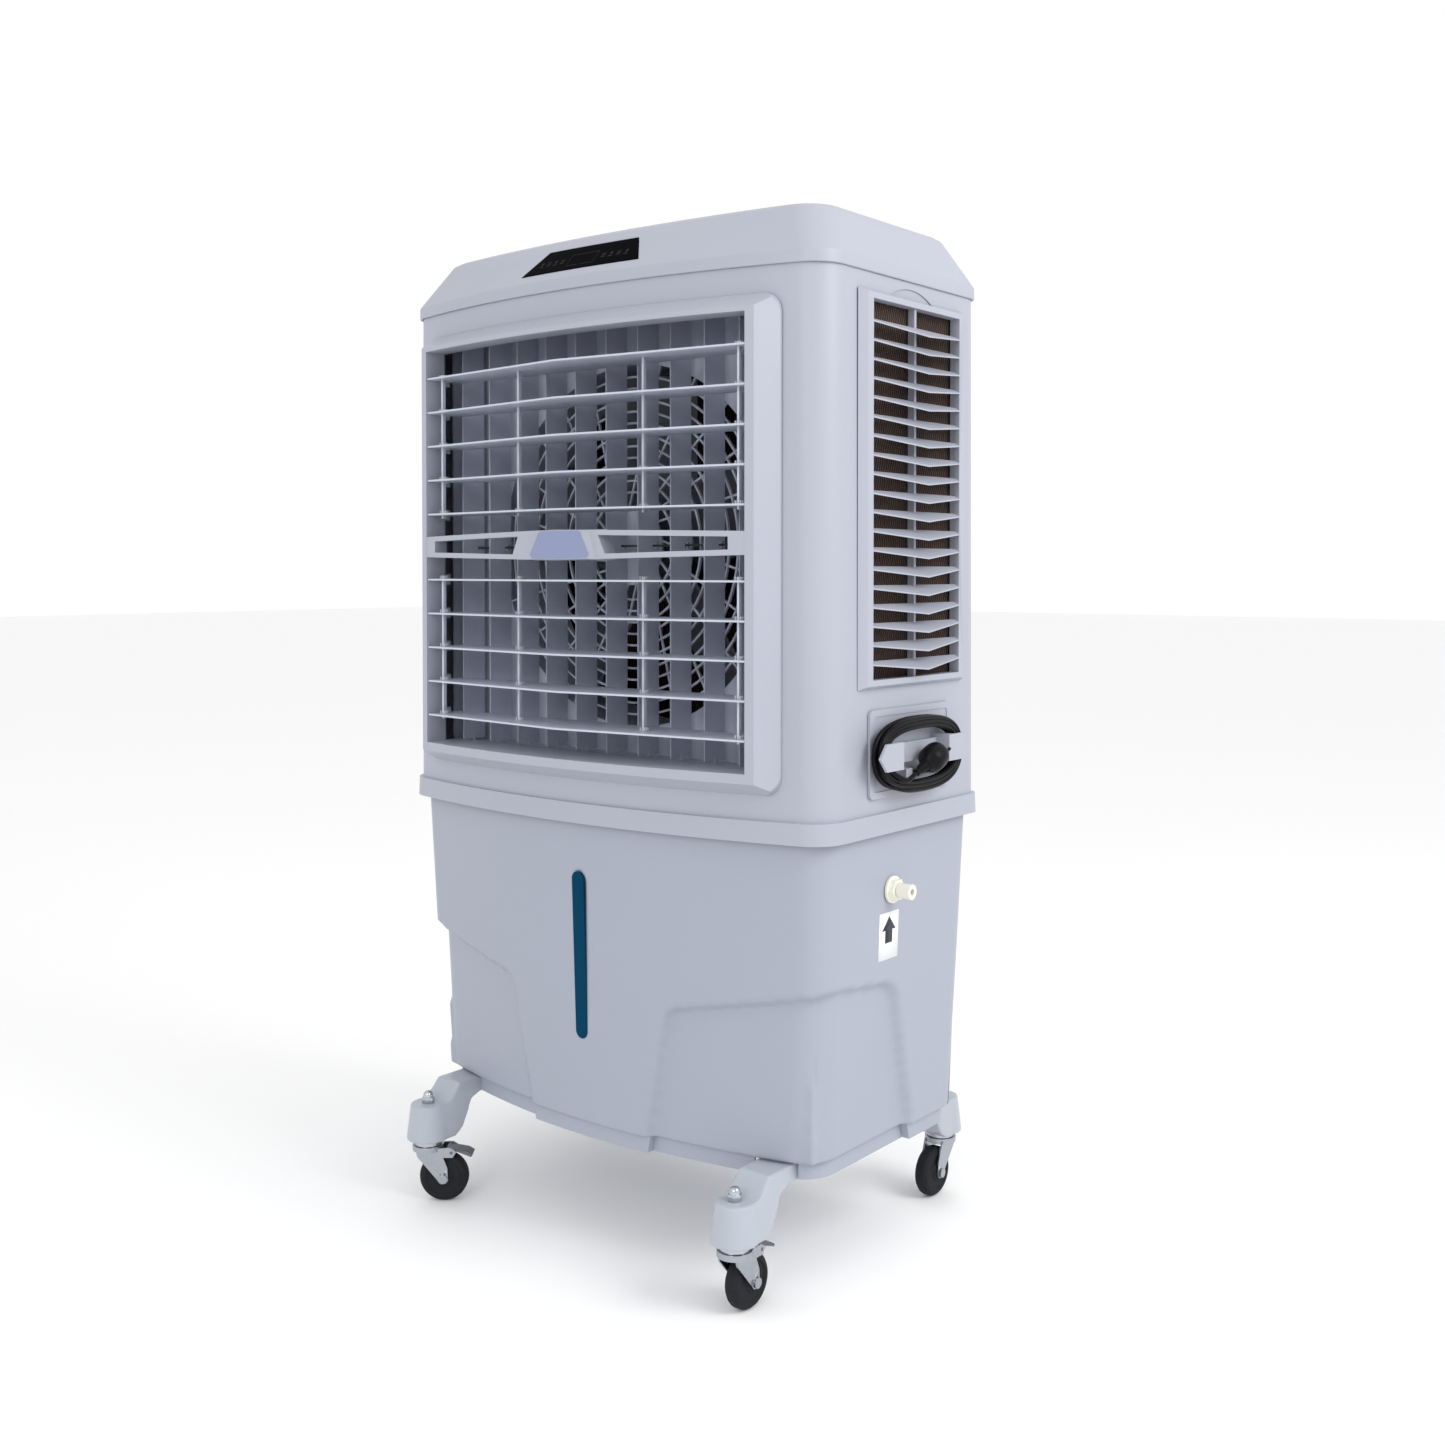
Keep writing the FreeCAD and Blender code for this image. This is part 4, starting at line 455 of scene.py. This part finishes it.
# ---------------------------------------------------------------- shells
class COOLER_OT_shells(bpy.types.Operator):
    """Casing, cap, louvre frame, tank and tray"""
    bl_idname = "cooler.shells"
    bl_label = "Shells"

    def execute(self, context):
        edge = context.scene.cooler_shell.edge
        dress("upper_casing", "shell", edge)
        dress("top_cap", "shell", 3 * edge, 3)
        dress("louvre_frame", "shell", 1.6 * edge, 3)
        dress("base_frame", "tank", edge)
        self.tank()
        return {"FINISHED"}

    def rim_path(self, low, high, step):
        """Places and outward directions round the tank's rim, from the middle of the front."""
        bow, corner, rear = (v * MM for v in (55, 50, 28))   # front's bulge, front and rear corners
        half, back = high.x, high.y
        radius = (half ** 2 + bow ** 2) / (2 * bow)
        hub_y = low.y + radius
        corner_y = hub_y - math.sqrt((radius - corner) ** 2 - (half - corner) ** 2)
        lean = math.atan2(half - corner, hub_y - corner_y)
        right = []

        def arc(x, y, r, start, end):
            count = max(3, round(r * (end - start) / step))
            for i in range(count):
                a = start + (end - start) * i / count
                out = Vector((math.sin(a), -math.cos(a), 0))
                right.append((Vector((x, y, 0)) + out * r, out))

        def run(start, end, out):
            count = max(2, round((end - start).length / step))
            right.extend((start.lerp(end, i / count), out) for i in range(count))

        arc(0, hub_y, radius, 0, lean)
        arc(half - corner, corner_y, corner, lean, math.pi / 2)
        run(Vector((half, corner_y, 0)), Vector((half, back - rear, 0)), Vector((1, 0, 0)))
        arc(half - rear, back - rear, rear, math.pi / 2, math.pi)
        run(Vector((half - rear, back, 0)), Vector((0, back, 0)), Vector((0, 1, 0)))
        right.append((Vector((0, back, 0)), Vector((0, 1, 0))))
        flip = Vector((-1, 1, 1))
        return right + [(place * flip, out * flip) for place, out in right[-2:0:-1]]

    def tank(self):
        """The tank's outside, with soft moulded steps round its sunk corners."""
        low, high = box_of("water_tank")
        step, foot, ends = (v * MM for v in (5, 3, 9))
        deepest = 45 * MM   # past this the line has gone through a hole in the wall
        path = self.rim_path(low, high, step)
        heights = [low.z + foot + step * i for i in range(int((high.z - low.z - ends) / step))]
        inset = []
        for z in heights:
            row = []
            for place, out in path:
                start = place + out * step + Vector((0, 0, z))
                hit, spot, _, _ = NODES["water_tank"].ray_cast(start, -out)
                depth = (start - spot).length - step if hit else math.inf
                if depth > deepest:
                    depth = row[-1] if row else inset[-1][0]
                row.append(depth)
            inset.append(row)
        inset = softened(inset)
        brim = 0.8 * MM
        rounding = [[depth + extra for depth in inset[0]] for extra in (2.6 * MM, brim)]

        def skin(work):
            rings = []
            for z, row in zip([low.z, low.z + brim] + heights, rounding + inset):
                rings.append([work.verts.new(place - out * depth + Vector((0, 0, z)))
                              for (place, out), depth in zip(path, row)])
            for under, over in zip(rings, rings[1:]):
                join_rings(work, under, over)
            work.faces.new(list(reversed(rings[0])))
            work.faces.new(rings[-1])

        tank = piece("tank_skin", mesh_from("Tank skin", skin), "tank", "cabinet")
        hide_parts("water_tank")


class COOLER_OT_covers(bpy.types.Operator):
    """Louvred covers, wet pads and the trough above them"""
    bl_idname = "cooler.covers"
    bl_label = "Covers and pads"

    def execute(self, context):
        edge = context.scene.cooler_shell.edge
        for node in ("side_cover_left", "side_cover_right", "rear_cover"):
            dress(node, "shell", 0.5 * edge)
        dress("cooling_pads", "pad")
        dress("water_distributor", "white", 0.5 * edge)
        return {"FINISHED"}


# ---------------------------------------------------------------- air outlet
class COOLER_OT_louvres(bpy.types.Operator):
    """Slats, swinging fins, their links and the clips that join them"""
    bl_idname = "cooler.louvres"
    bl_label = "Louvres"

    INNER_ROD = 122 * MM    # from the middle to the inner rods of a link
    ROD_RADIUS = 1.8 * MM

    def execute(self, context):
        edge = context.scene.cooler_shell.edge
        for node in SLATS:
            dress(node, "louvre", 0.6 * edge)
        for node in FINS:
            dress(node, "fin")
        for node in SLAT_GROUPS:
            dress(node, "guard", 0.3 * edge)
        dress("fin_link_bar", "dark")
        dress("swing_motor", "white", 0.5 * edge)
        self.add_clips()
        return {"FINISHED"}

    def add_clips(self):
        """Small bright clips that hold the link rods to each slat."""
        for link, slats in SLAT_GROUPS.items():
            low, high = box_of(link)
            depth = (low.y + high.y) / 2
            rods = (low.x + self.ROD_RADIUS, -self.INNER_ROD,
                    self.INNER_ROD, high.x - self.ROD_RADIUS)
            for node in slats:
                level = (box_of(node)[0].z + box_of(node)[1].z) / 2
                name = "clips_" + node
                clips = mesh_from(name, lambda work: self.clips(work, rods, depth, level))
                piece(name, clips, "white", node, 0.3 * MM)

    def clips(self, work, rods, y, z):
        """A cheek on each side of every rod, with a stub of the pin through it."""
        for x in rods:
            for side in (-1, 1):
                cheek, stub_in, stub_out = (x + side * v * MM for v in (4.2, 2.6, 6))
                add_block(work, (cheek, y, z + 3.6 * MM), (1.6 * MM, 8 * MM, 5 * MM))
                pin_z = z + 3.8 * MM
                add_rod(work, (stub_in, y, pin_z), (stub_out, y, pin_z), 1.6 * MM, 16)


class COOLER_OT_fan(bpy.types.Operator):
    """Guard, fan and motor"""
    bl_idname = "cooler.fan"
    bl_label = "Fan"

    def execute(self, context):
        dress("fan_guard", "guard")
        dress("fan", "fan")
        dress("fan_motor", "steel", 0.6 * MM)
        return {"FINISHED"}


class COOLER_OT_plaque(bpy.types.Operator):
    """Blank plaque in the middle of the outlet's rail"""
    bl_idname = "cooler.plaque"
    bl_label = "Plaque"

    def execute(self, context):
        rail_z = (box_of("slat_05")[0].z + box_of("slat_06")[1].z) / 2
        middle, half_low, half_high = (v * MM for v in (12, 56.5, 42.5))
        half_height, corner, corner_steps = 19.0 * MM, 7.0 * MM, 6
        outline = []
        for x, z, start in ((half_low, -half_height, -90), (half_high, half_height, 0),
                            (-half_high, half_height, 90), (-half_low, -half_height, 180)):
            hub_x = middle + x - math.copysign(corner, x)
            hub_z = rail_z + z - math.copysign(corner, z)
            for i in range(corner_steps + 1):
                a = math.radians(start + 90 * i / corner_steps)
                outline.append((hub_x + corner * math.cos(a), hub_z + corner * math.sin(a)))
        face = on_surface("louvre_frame", (middle, AHEAD, rail_z), (0, 1, 0))[0].y
        outline = [(x, face, z) for x, z in outline]
        mesh = mesh_from("Plaque", lambda work: add_plate(work, outline, (0, -1, 0), 0.7 * MM))
        piece("plaque", mesh, "badge", "cabinet", 0.4 * MM)
        return {"FINISHED"}


# ---------------------------------------------------------------- control panel
class COOLER_OT_panel(bpy.types.Operator):
    """Glossy control panel with faint generic signs"""
    bl_idname = "cooler.control_panel"
    bl_label = "Control panel"

    # each block: middle across, middle up, half width, half height, in millimetres
    DOT = [(0, -3.2, 4.0, 0.8), (0, 1.5, 2.2, 2.2)]
    BARS = [(0, 2.6, 3.6, 0.7), (0, 0, 3.6, 0.7), (0, -2.6, 3.6, 0.7)]
    DISPLAY = [(0, 9, 26, 0.4), (0, -9, 26, 0.4), (-26, 0, 0.4, 9), (26, 0, 0.4, 9)]
    FIRST_SIGN, SIGN_PITCH = 40 * MM, 14 * MM
    SIGNS_A_SIDE = 4
    SIGN_LEVEL = 0.42       # share of the panel's height

    def execute(self, context):
        dress("control_panel", "panel", 0.8 * MM)
        low, high = box_of("control_panel")
        level = low.z + self.SIGN_LEVEL * (high.z - low.z)
        for hand, side in (("left", -1), ("right", 1)):
            for i in range(self.SIGNS_A_SIDE):
                name = "sign_%s_%d" % (hand, i + 1)
                place = side * (self.FIRST_SIGN + self.SIGN_PITCH * i)
                self.print_blocks(name, name, place, level, self.DOT if i % 2 else self.BARS)
        self.print_blocks("display_frame", "Display frame", 0, level, self.DISPLAY)
        return {"FINISHED"}

    def at(self, x, z):
        """A place just off the panel's face."""
        place, normal = on_surface("control_panel", (x, AHEAD, z), (0, 1, 0))
        return place + normal * 0.05 * MM, normal

    def print_blocks(self, name, mesh_name, x, z, blocks):
        """Faint blocks printed on the panel's face, about a middle at x and z."""
        def build(work):
            _, out = self.at(x, z)
            for dx, dz, half_w, half_h in blocks:
                corners = [self.at(x + (dx + cx) * MM, z + (dz + cz) * MM)[0]
                           for cx, cz in rectangle(half_w, half_h)]
                add_plate(work, corners, out, 0.1 * MM)
        piece(name, mesh_from(mesh_name, build), "icon", "cabinet")


# ---------------------------------------------------------------- water side
class COOLER_OT_water(bpy.types.Operator):
    """Level window, inlet, label, drain and pump"""
    bl_idname = "cooler.water"
    bl_label = "Water fittings"

    def execute(self, context):
        dress("level_window", "level", 0.5 * MM)
        dress("inlet_valve", "ivory", 0.6 * MM)
        dress("drain_plug", "dark", 0.8 * MM)
        dress("pump", "dark", 0.8 * MM)
        self.label()
        return {"FINISHED"}

    def at(self, y, z, lift):
        """A place on the tank's right side, lifted off it by so many millimetres."""
        place, normal = on_surface("tank_skin", (BESIDE, y, z), (-1, 0, 0))
        return place + normal * lift * MM, normal

    def label(self):
        """White sticker with a dark arrow that points up at the inlet."""
        middle, top, width, height = (v * MM for v in (-27.5, 499, 49, 66))

        def sticker(work):
            corners = [(-0.5, 0), (0.5, 0), (0.5, -1), (-0.5, -1)]
            points = [self.at(middle + u * width, top + v * height, 0.02)[0] for u, v in corners]
            add_plate(work, points, self.at(middle, top - height / 2, 0)[1], 0.25 * MM)

        def arrow(work):
            shape = [(0, -6), (17, -25), (9, -25), (9, -43), (-9, -43), (-9, -25), (-17, -25)]
            points = [self.at(middle + u * MM, top + v * MM, 0.3)[0] for u, v in shape]
            add_plate(work, points, self.at(middle, top - height / 2, 0)[1], 0.1 * MM)

        piece("inlet_label", mesh_from("Inlet label", sticker), "label", "cabinet")
        piece("inlet_arrow", mesh_from("Inlet arrow", arrow), "ink", "cabinet")


# ---------------------------------------------------------------- undercarriage
class COOLER_OT_undercarriage(bpy.types.Operator):
    """Legs, casters and brake pedals"""
    bl_idname = "cooler.undercarriage"
    bl_label = "Undercarriage"

    def execute(self, context):
        self.soften(dress("legs", "leg"))
        dress("caster_mounts", "chrome", 0.5 * MM)
        for where in CASTERS:
            dress("caster_fork_" + where, "zinc", 0.5 * MM)
            dress("caster_wheel_" + where, "tyre", 0.5 * MM)
        for where in BRAKED:
            dress("brake_pedal_" + where, "pedal", 0.7 * MM)
        return {"FINISHED"}

    def soften(self, obj):
        """Rounds every edge of the moulded legs."""
        grid = obj.modifiers.new("Fine grid", "REMESH")
        grid.mode = "VOXEL"
        grid.voxel_size = 1.6 * MM
        grid.use_smooth_shade = True
        smooth = obj.modifiers.new("Soft edges", "SMOOTH")
        smooth.factor = 0.5
        smooth.iterations = 14


# ---------------------------------------------------------------- supply cord
class COOLER_OT_cord(bpy.types.Operator):
    """Cord plate, cord wound on the cleat, and plug"""
    bl_idname = "cooler.supply_cord"
    bl_label = "Supply cord"

    STEPS_A_TURN = 30
    FIRST_TURN = 0.13       # where the coil starts, as a share of a turn from its lowest point
    CROSSING = 0.07         # share of a turn between the back layer and the front one
    BACK_SHORT = 0.25       # what each layer lacks of its whole number of turns
    FRONT_SHORT = 0.15
    PLUG_LEAN = (2.0, 48.0, 20.0)   # the way the plug points

    def execute(self, context):
        cord = context.scene.cooler_cord
        dress("cord_plate", "shell", 0.9 * MM)
        plug = self.plug()
        points = self.route(cord)
        flex = self.tube(points, cord.diameter)
        length = self.length_of(flex)
        print("supply cord", round(length, 3), "m")
        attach(flex, "cabinet")
        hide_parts("cord_coil", "cord_lead", "cord_tail")
        return {"FINISHED"}

    def oval(self, half_w, half_h, centre, x, turn):
        """Point on a squarish oval, anticlockwise from its lowest; turn counts whole turns."""
        a = 2 * math.pi * turn - math.pi / 2
        squareness = 2 / 2.5
        y = math.copysign(abs(math.cos(a)) ** squareness, math.cos(a))
        z = math.copysign(abs(math.sin(a)) ** squareness, math.sin(a))
        slack = 1
        for share, waves, shift in ((0.020, 2, 0.7), (0.012, 3, 2.0)):   # hand winding is uneven
            slack -= share * (1 + math.sin(waves * a + shift))
        return Vector((x, centre.y + half_w * y * slack, centre.z + half_h * z * slack))

    def layer(self, cord, sizes, centre, x, first, turns, start_in, end_in):
        """One layer's turns, moving evenly from start_in to end_in turn pitches inwards."""
        steps = int(self.STEPS_A_TURN * turns)
        points = []
        for i in range(steps + 1):
            inward = cord.pitch * (start_in + (end_in - start_in) * i / steps)
            turn = first + turns * i / steps
            points.append(self.oval(sizes[0] - inward, sizes[1] - inward, centre, x, turn))
        return points

    def route(self, cord):
        """The cord's points: out of the gland, two layers of turns, and back to the plug."""
        low, high = box_of("cord_coil")
        centre = (low + high) / 2
        lead_low, lead_high = box_of("cord_lead")
        radius = cord.diameter / 2
        sizes = ((high.y - low.y) / 2 - radius, (high.z - low.z) / 2 - radius)
        back, front = low.x + radius, high.x - radius
        start = Vector((lead_low.x + radius, lead_low.y, lead_high.z - radius))
        inner = cord.turns - 1
        back_turns, front_turns = cord.turns - self.BACK_SHORT, cord.turns - self.FRONT_SHORT
        front_first = self.FIRST_TURN + back_turns + self.CROSSING
        points = [start + Vector((0, y * MM, z * MM)) for y, z in ((0, 0), (10, -0.3), (22, -3.0))]
        points += self.layer(cord, sizes, centre, back, self.FIRST_TURN, back_turns, inner, 0)
        points += self.layer(cord, sizes, centre, front, front_first, front_turns, 0, inner)
        return points + self.tail()

    def neck(self):
        """Where the cord enters the plug, and which way the plug points."""
        tail_high, plug_low = box_of("cord_tail")[1], box_of("plug")[0]
        neck = Vector((tail_high.x - 3.5 * MM, plug_low.y + 2.0 * MM, plug_low.z + 4.8 * MM))
        return neck, Vector(self.PLUG_LEAN).normalized()

    def tail(self):
        """Last stretch, straight into the plug's neck."""
        neck, along = self.neck()
        return [neck + along * v * MM for v in (-26, -12, 2)]

    def tube(self, points, diameter):
        """Round cord on a smooth spline through the route."""
        curve = bpy.data.curves.new("supply_cord", "CURVE")
        curve.dimensions = "3D"
        curve.bevel_depth = diameter / 2
        curve.bevel_resolution = 5
        curve.resolution_u = 6
        curve.use_fill_caps = True
        line = curve.splines.new("NURBS")
        line.points.add(len(points) - 1)
        for spot, point in zip(line.points, points):
            spot.co = (*point, 1.0)
        line.order_u = 3
        line.use_endpoint_u = True
        curve.materials.append(LOOKS["cord"])
        flex = show("supply_cord", curve)
        bpy.context.view_layer.update()
        return flex

    def length_of(self, flex):
        """Length of the cord's own centre line."""
        bare = flex.data.copy()
        bare.bevel_depth = 0.0
        probe = show("Probe", bare)
        bpy.context.view_layer.update()
        mesh = probe.evaluated_get(bpy.context.evaluated_depsgraph_get()).to_mesh()
        spots = [vertex.co for vertex in mesh.vertices]
        total = sum((spots[a] - spots[b]).length for a, b in (edge.vertices for edge in mesh.edges))
        bpy.data.objects.remove(probe)
        bpy.data.curves.remove(bare)
        return total

    def plug(self):
        """Moulded plug: ribbed neck, flared shoulder, round body."""
        neck, along = self.neck()
        ribs, rib_pitch = 5, 4.4
        # distance from the end of the neck, and radius, in millimetres
        profile = [(0.0, 3.6), (0.5, 4.9)]
        for i in range(ribs):
            reach, swell = 2.0 + rib_pitch * i, 0.6 * i
            for along_rib, radius in ((0, 5.0), (2.6, 5.2), (3.0, 4.3), (4.0, 4.3)):
                profile.append((reach + along_rib, radius + swell))
        profile += [(23.6, 8.2), (27.0, 10.6), (30.5, 14.2), (34.0, 17.0), (38.0, 18.6),
                    (43.0, 18.9), (50.0, 18.9), (56.0, 18.2), (60.0, 17.0), (62.6, 15.2),
                    (63.8, 12.0)]

        def build(work):
            add_turned(work, neck, along, [(a * MM, r * MM) for a, r in profile])
            for side in (-1, 1):
                foot = neck + along * 60 * MM + Vector((side * 9.5 * MM, 0, 0))
                pin = [(0.0, 2.3 * MM), (14 * MM, 2.3 * MM), (15.5 * MM, 1.5 * MM)]
                add_turned(work, foot, along, pin, 20)

        plug = piece("plug_body", mesh_from("Plug body", build), "plug", "cabinet")
        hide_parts("plug")
        return plug


# ---------------------------------------------------------------- stage
class COOLER_OT_stage(bpy.types.Operator):
    """Pale floor, soft lights and camera"""
    bl_idname = "cooler.stage"
    bl_label = "Stage"

    FLOOR_HALF = 30.0
    LAMPS = (   # name, place, what it points at, size, watts
        ("side_light", (2.9, 0.3, 2.5), (0.3, 0, 1.2), 1.6, 52.0),
        ("front_light", (0.9, -3.6, 2.2), (0, 0, 1.0), 1.8, 30.0),
    )

    def execute(self, context):
        stage = context.scene.cooler_stage
        self.floor(tuple(stage.floor_colour))
        self.room(context.scene, stage.room_light)
        for lamp in self.LAMPS:
            self.lamp(*lamp)
        self.camera(context.scene, stage)
        return {"FINISHED"}

    def floor(self, colour):
        mesh = mesh_from("Floor", lambda work: bmesh.ops.create_grid(
            work, x_segments=1, y_segments=1, size=self.FLOOR_HALF))
        mesh.materials.append(Look("Floor paint", colour, 0.85).material)
        floor = show("floor", mesh)

    def room(self, scene, strength):
        world = bpy.data.worlds.new("Room")
        world.use_nodes = True
        background = world.node_tree.nodes["Background"]
        background.inputs["Color"].default_value = (1.0, 1.0, 1.0, 1.0)
        background.inputs["Strength"].default_value = strength
        scene.world = world
        scene.view_settings.view_transform = "Standard"

    def lamp(self, name, place, target, size, power):
        light = bpy.data.lights.new(name, "AREA")
        light.shape = "SQUARE"
        light.size = size
        light.energy = power
        lamp = show(name, light)
        lamp.location = place
        lamp.rotation_euler = (Vector(target) - Vector(place)).to_track_quat("-Z", "Y").to_euler()

    def camera(self, scene, stage):
        lens = bpy.data.cameras.new("Camera")
        lens.sensor_width = 36.0
        lens.lens = stage.lens
        lens.shift_y = stage.rise
        lens.clip_end = 100.0
        camera = show("Camera", lens)
        camera.location = stage.eye
        camera.rotation_euler = (math.pi / 2 - stage.tilt, 0.0, stage.heading)
        scene.camera = camera


# ---------------------------------------------------------------- add-on
OPERATORS = (
    COOLER_OT_shells, COOLER_OT_covers, COOLER_OT_louvres, COOLER_OT_fan, COOLER_OT_plaque,
    COOLER_OT_panel, COOLER_OT_water, COOLER_OT_undercarriage, COOLER_OT_cord, COOLER_OT_stage,
)


class COOLER_PT_pieces(bpy.types.Panel):
    """Lists the pieces of the cooler"""
    bl_idname = "COOLER_PT_pieces"
    bl_label = "Air cooler"
    bl_space_type = "VIEW_3D"
    bl_region_type = "UI"
    bl_category = "Cooler"

    def draw(self, context):
        for group in SETTINGS:
            settings = getattr(context.scene, group)
            box = self.layout.box()
            for name in settings.__annotations__:
                box.prop(settings, name)
        for operator in OPERATORS:
            self.layout.operator(operator.bl_idname)


def register():
    for group, kind in SETTINGS.items():
        bpy.utils.register_class(kind)
        setattr(bpy.types.Scene, group, PointerProperty(type=kind))
    for kind in (*OPERATORS, COOLER_PT_pieces):
        bpy.utils.register_class(kind)


def unregister():
    for kind in (COOLER_PT_pieces, *reversed(OPERATORS)):
        bpy.utils.unregister_class(kind)
    for group, kind in reversed(SETTINGS.items()):
        delattr(bpy.types.Scene, group)
        bpy.utils.unregister_class(kind)


def main():
    register()
    make_looks()
    for operator in OPERATORS:
        group, name = operator.bl_idname.split(".")
        getattr(getattr(bpy.ops, group), name)()


if __name__ == "__main__":
    main()
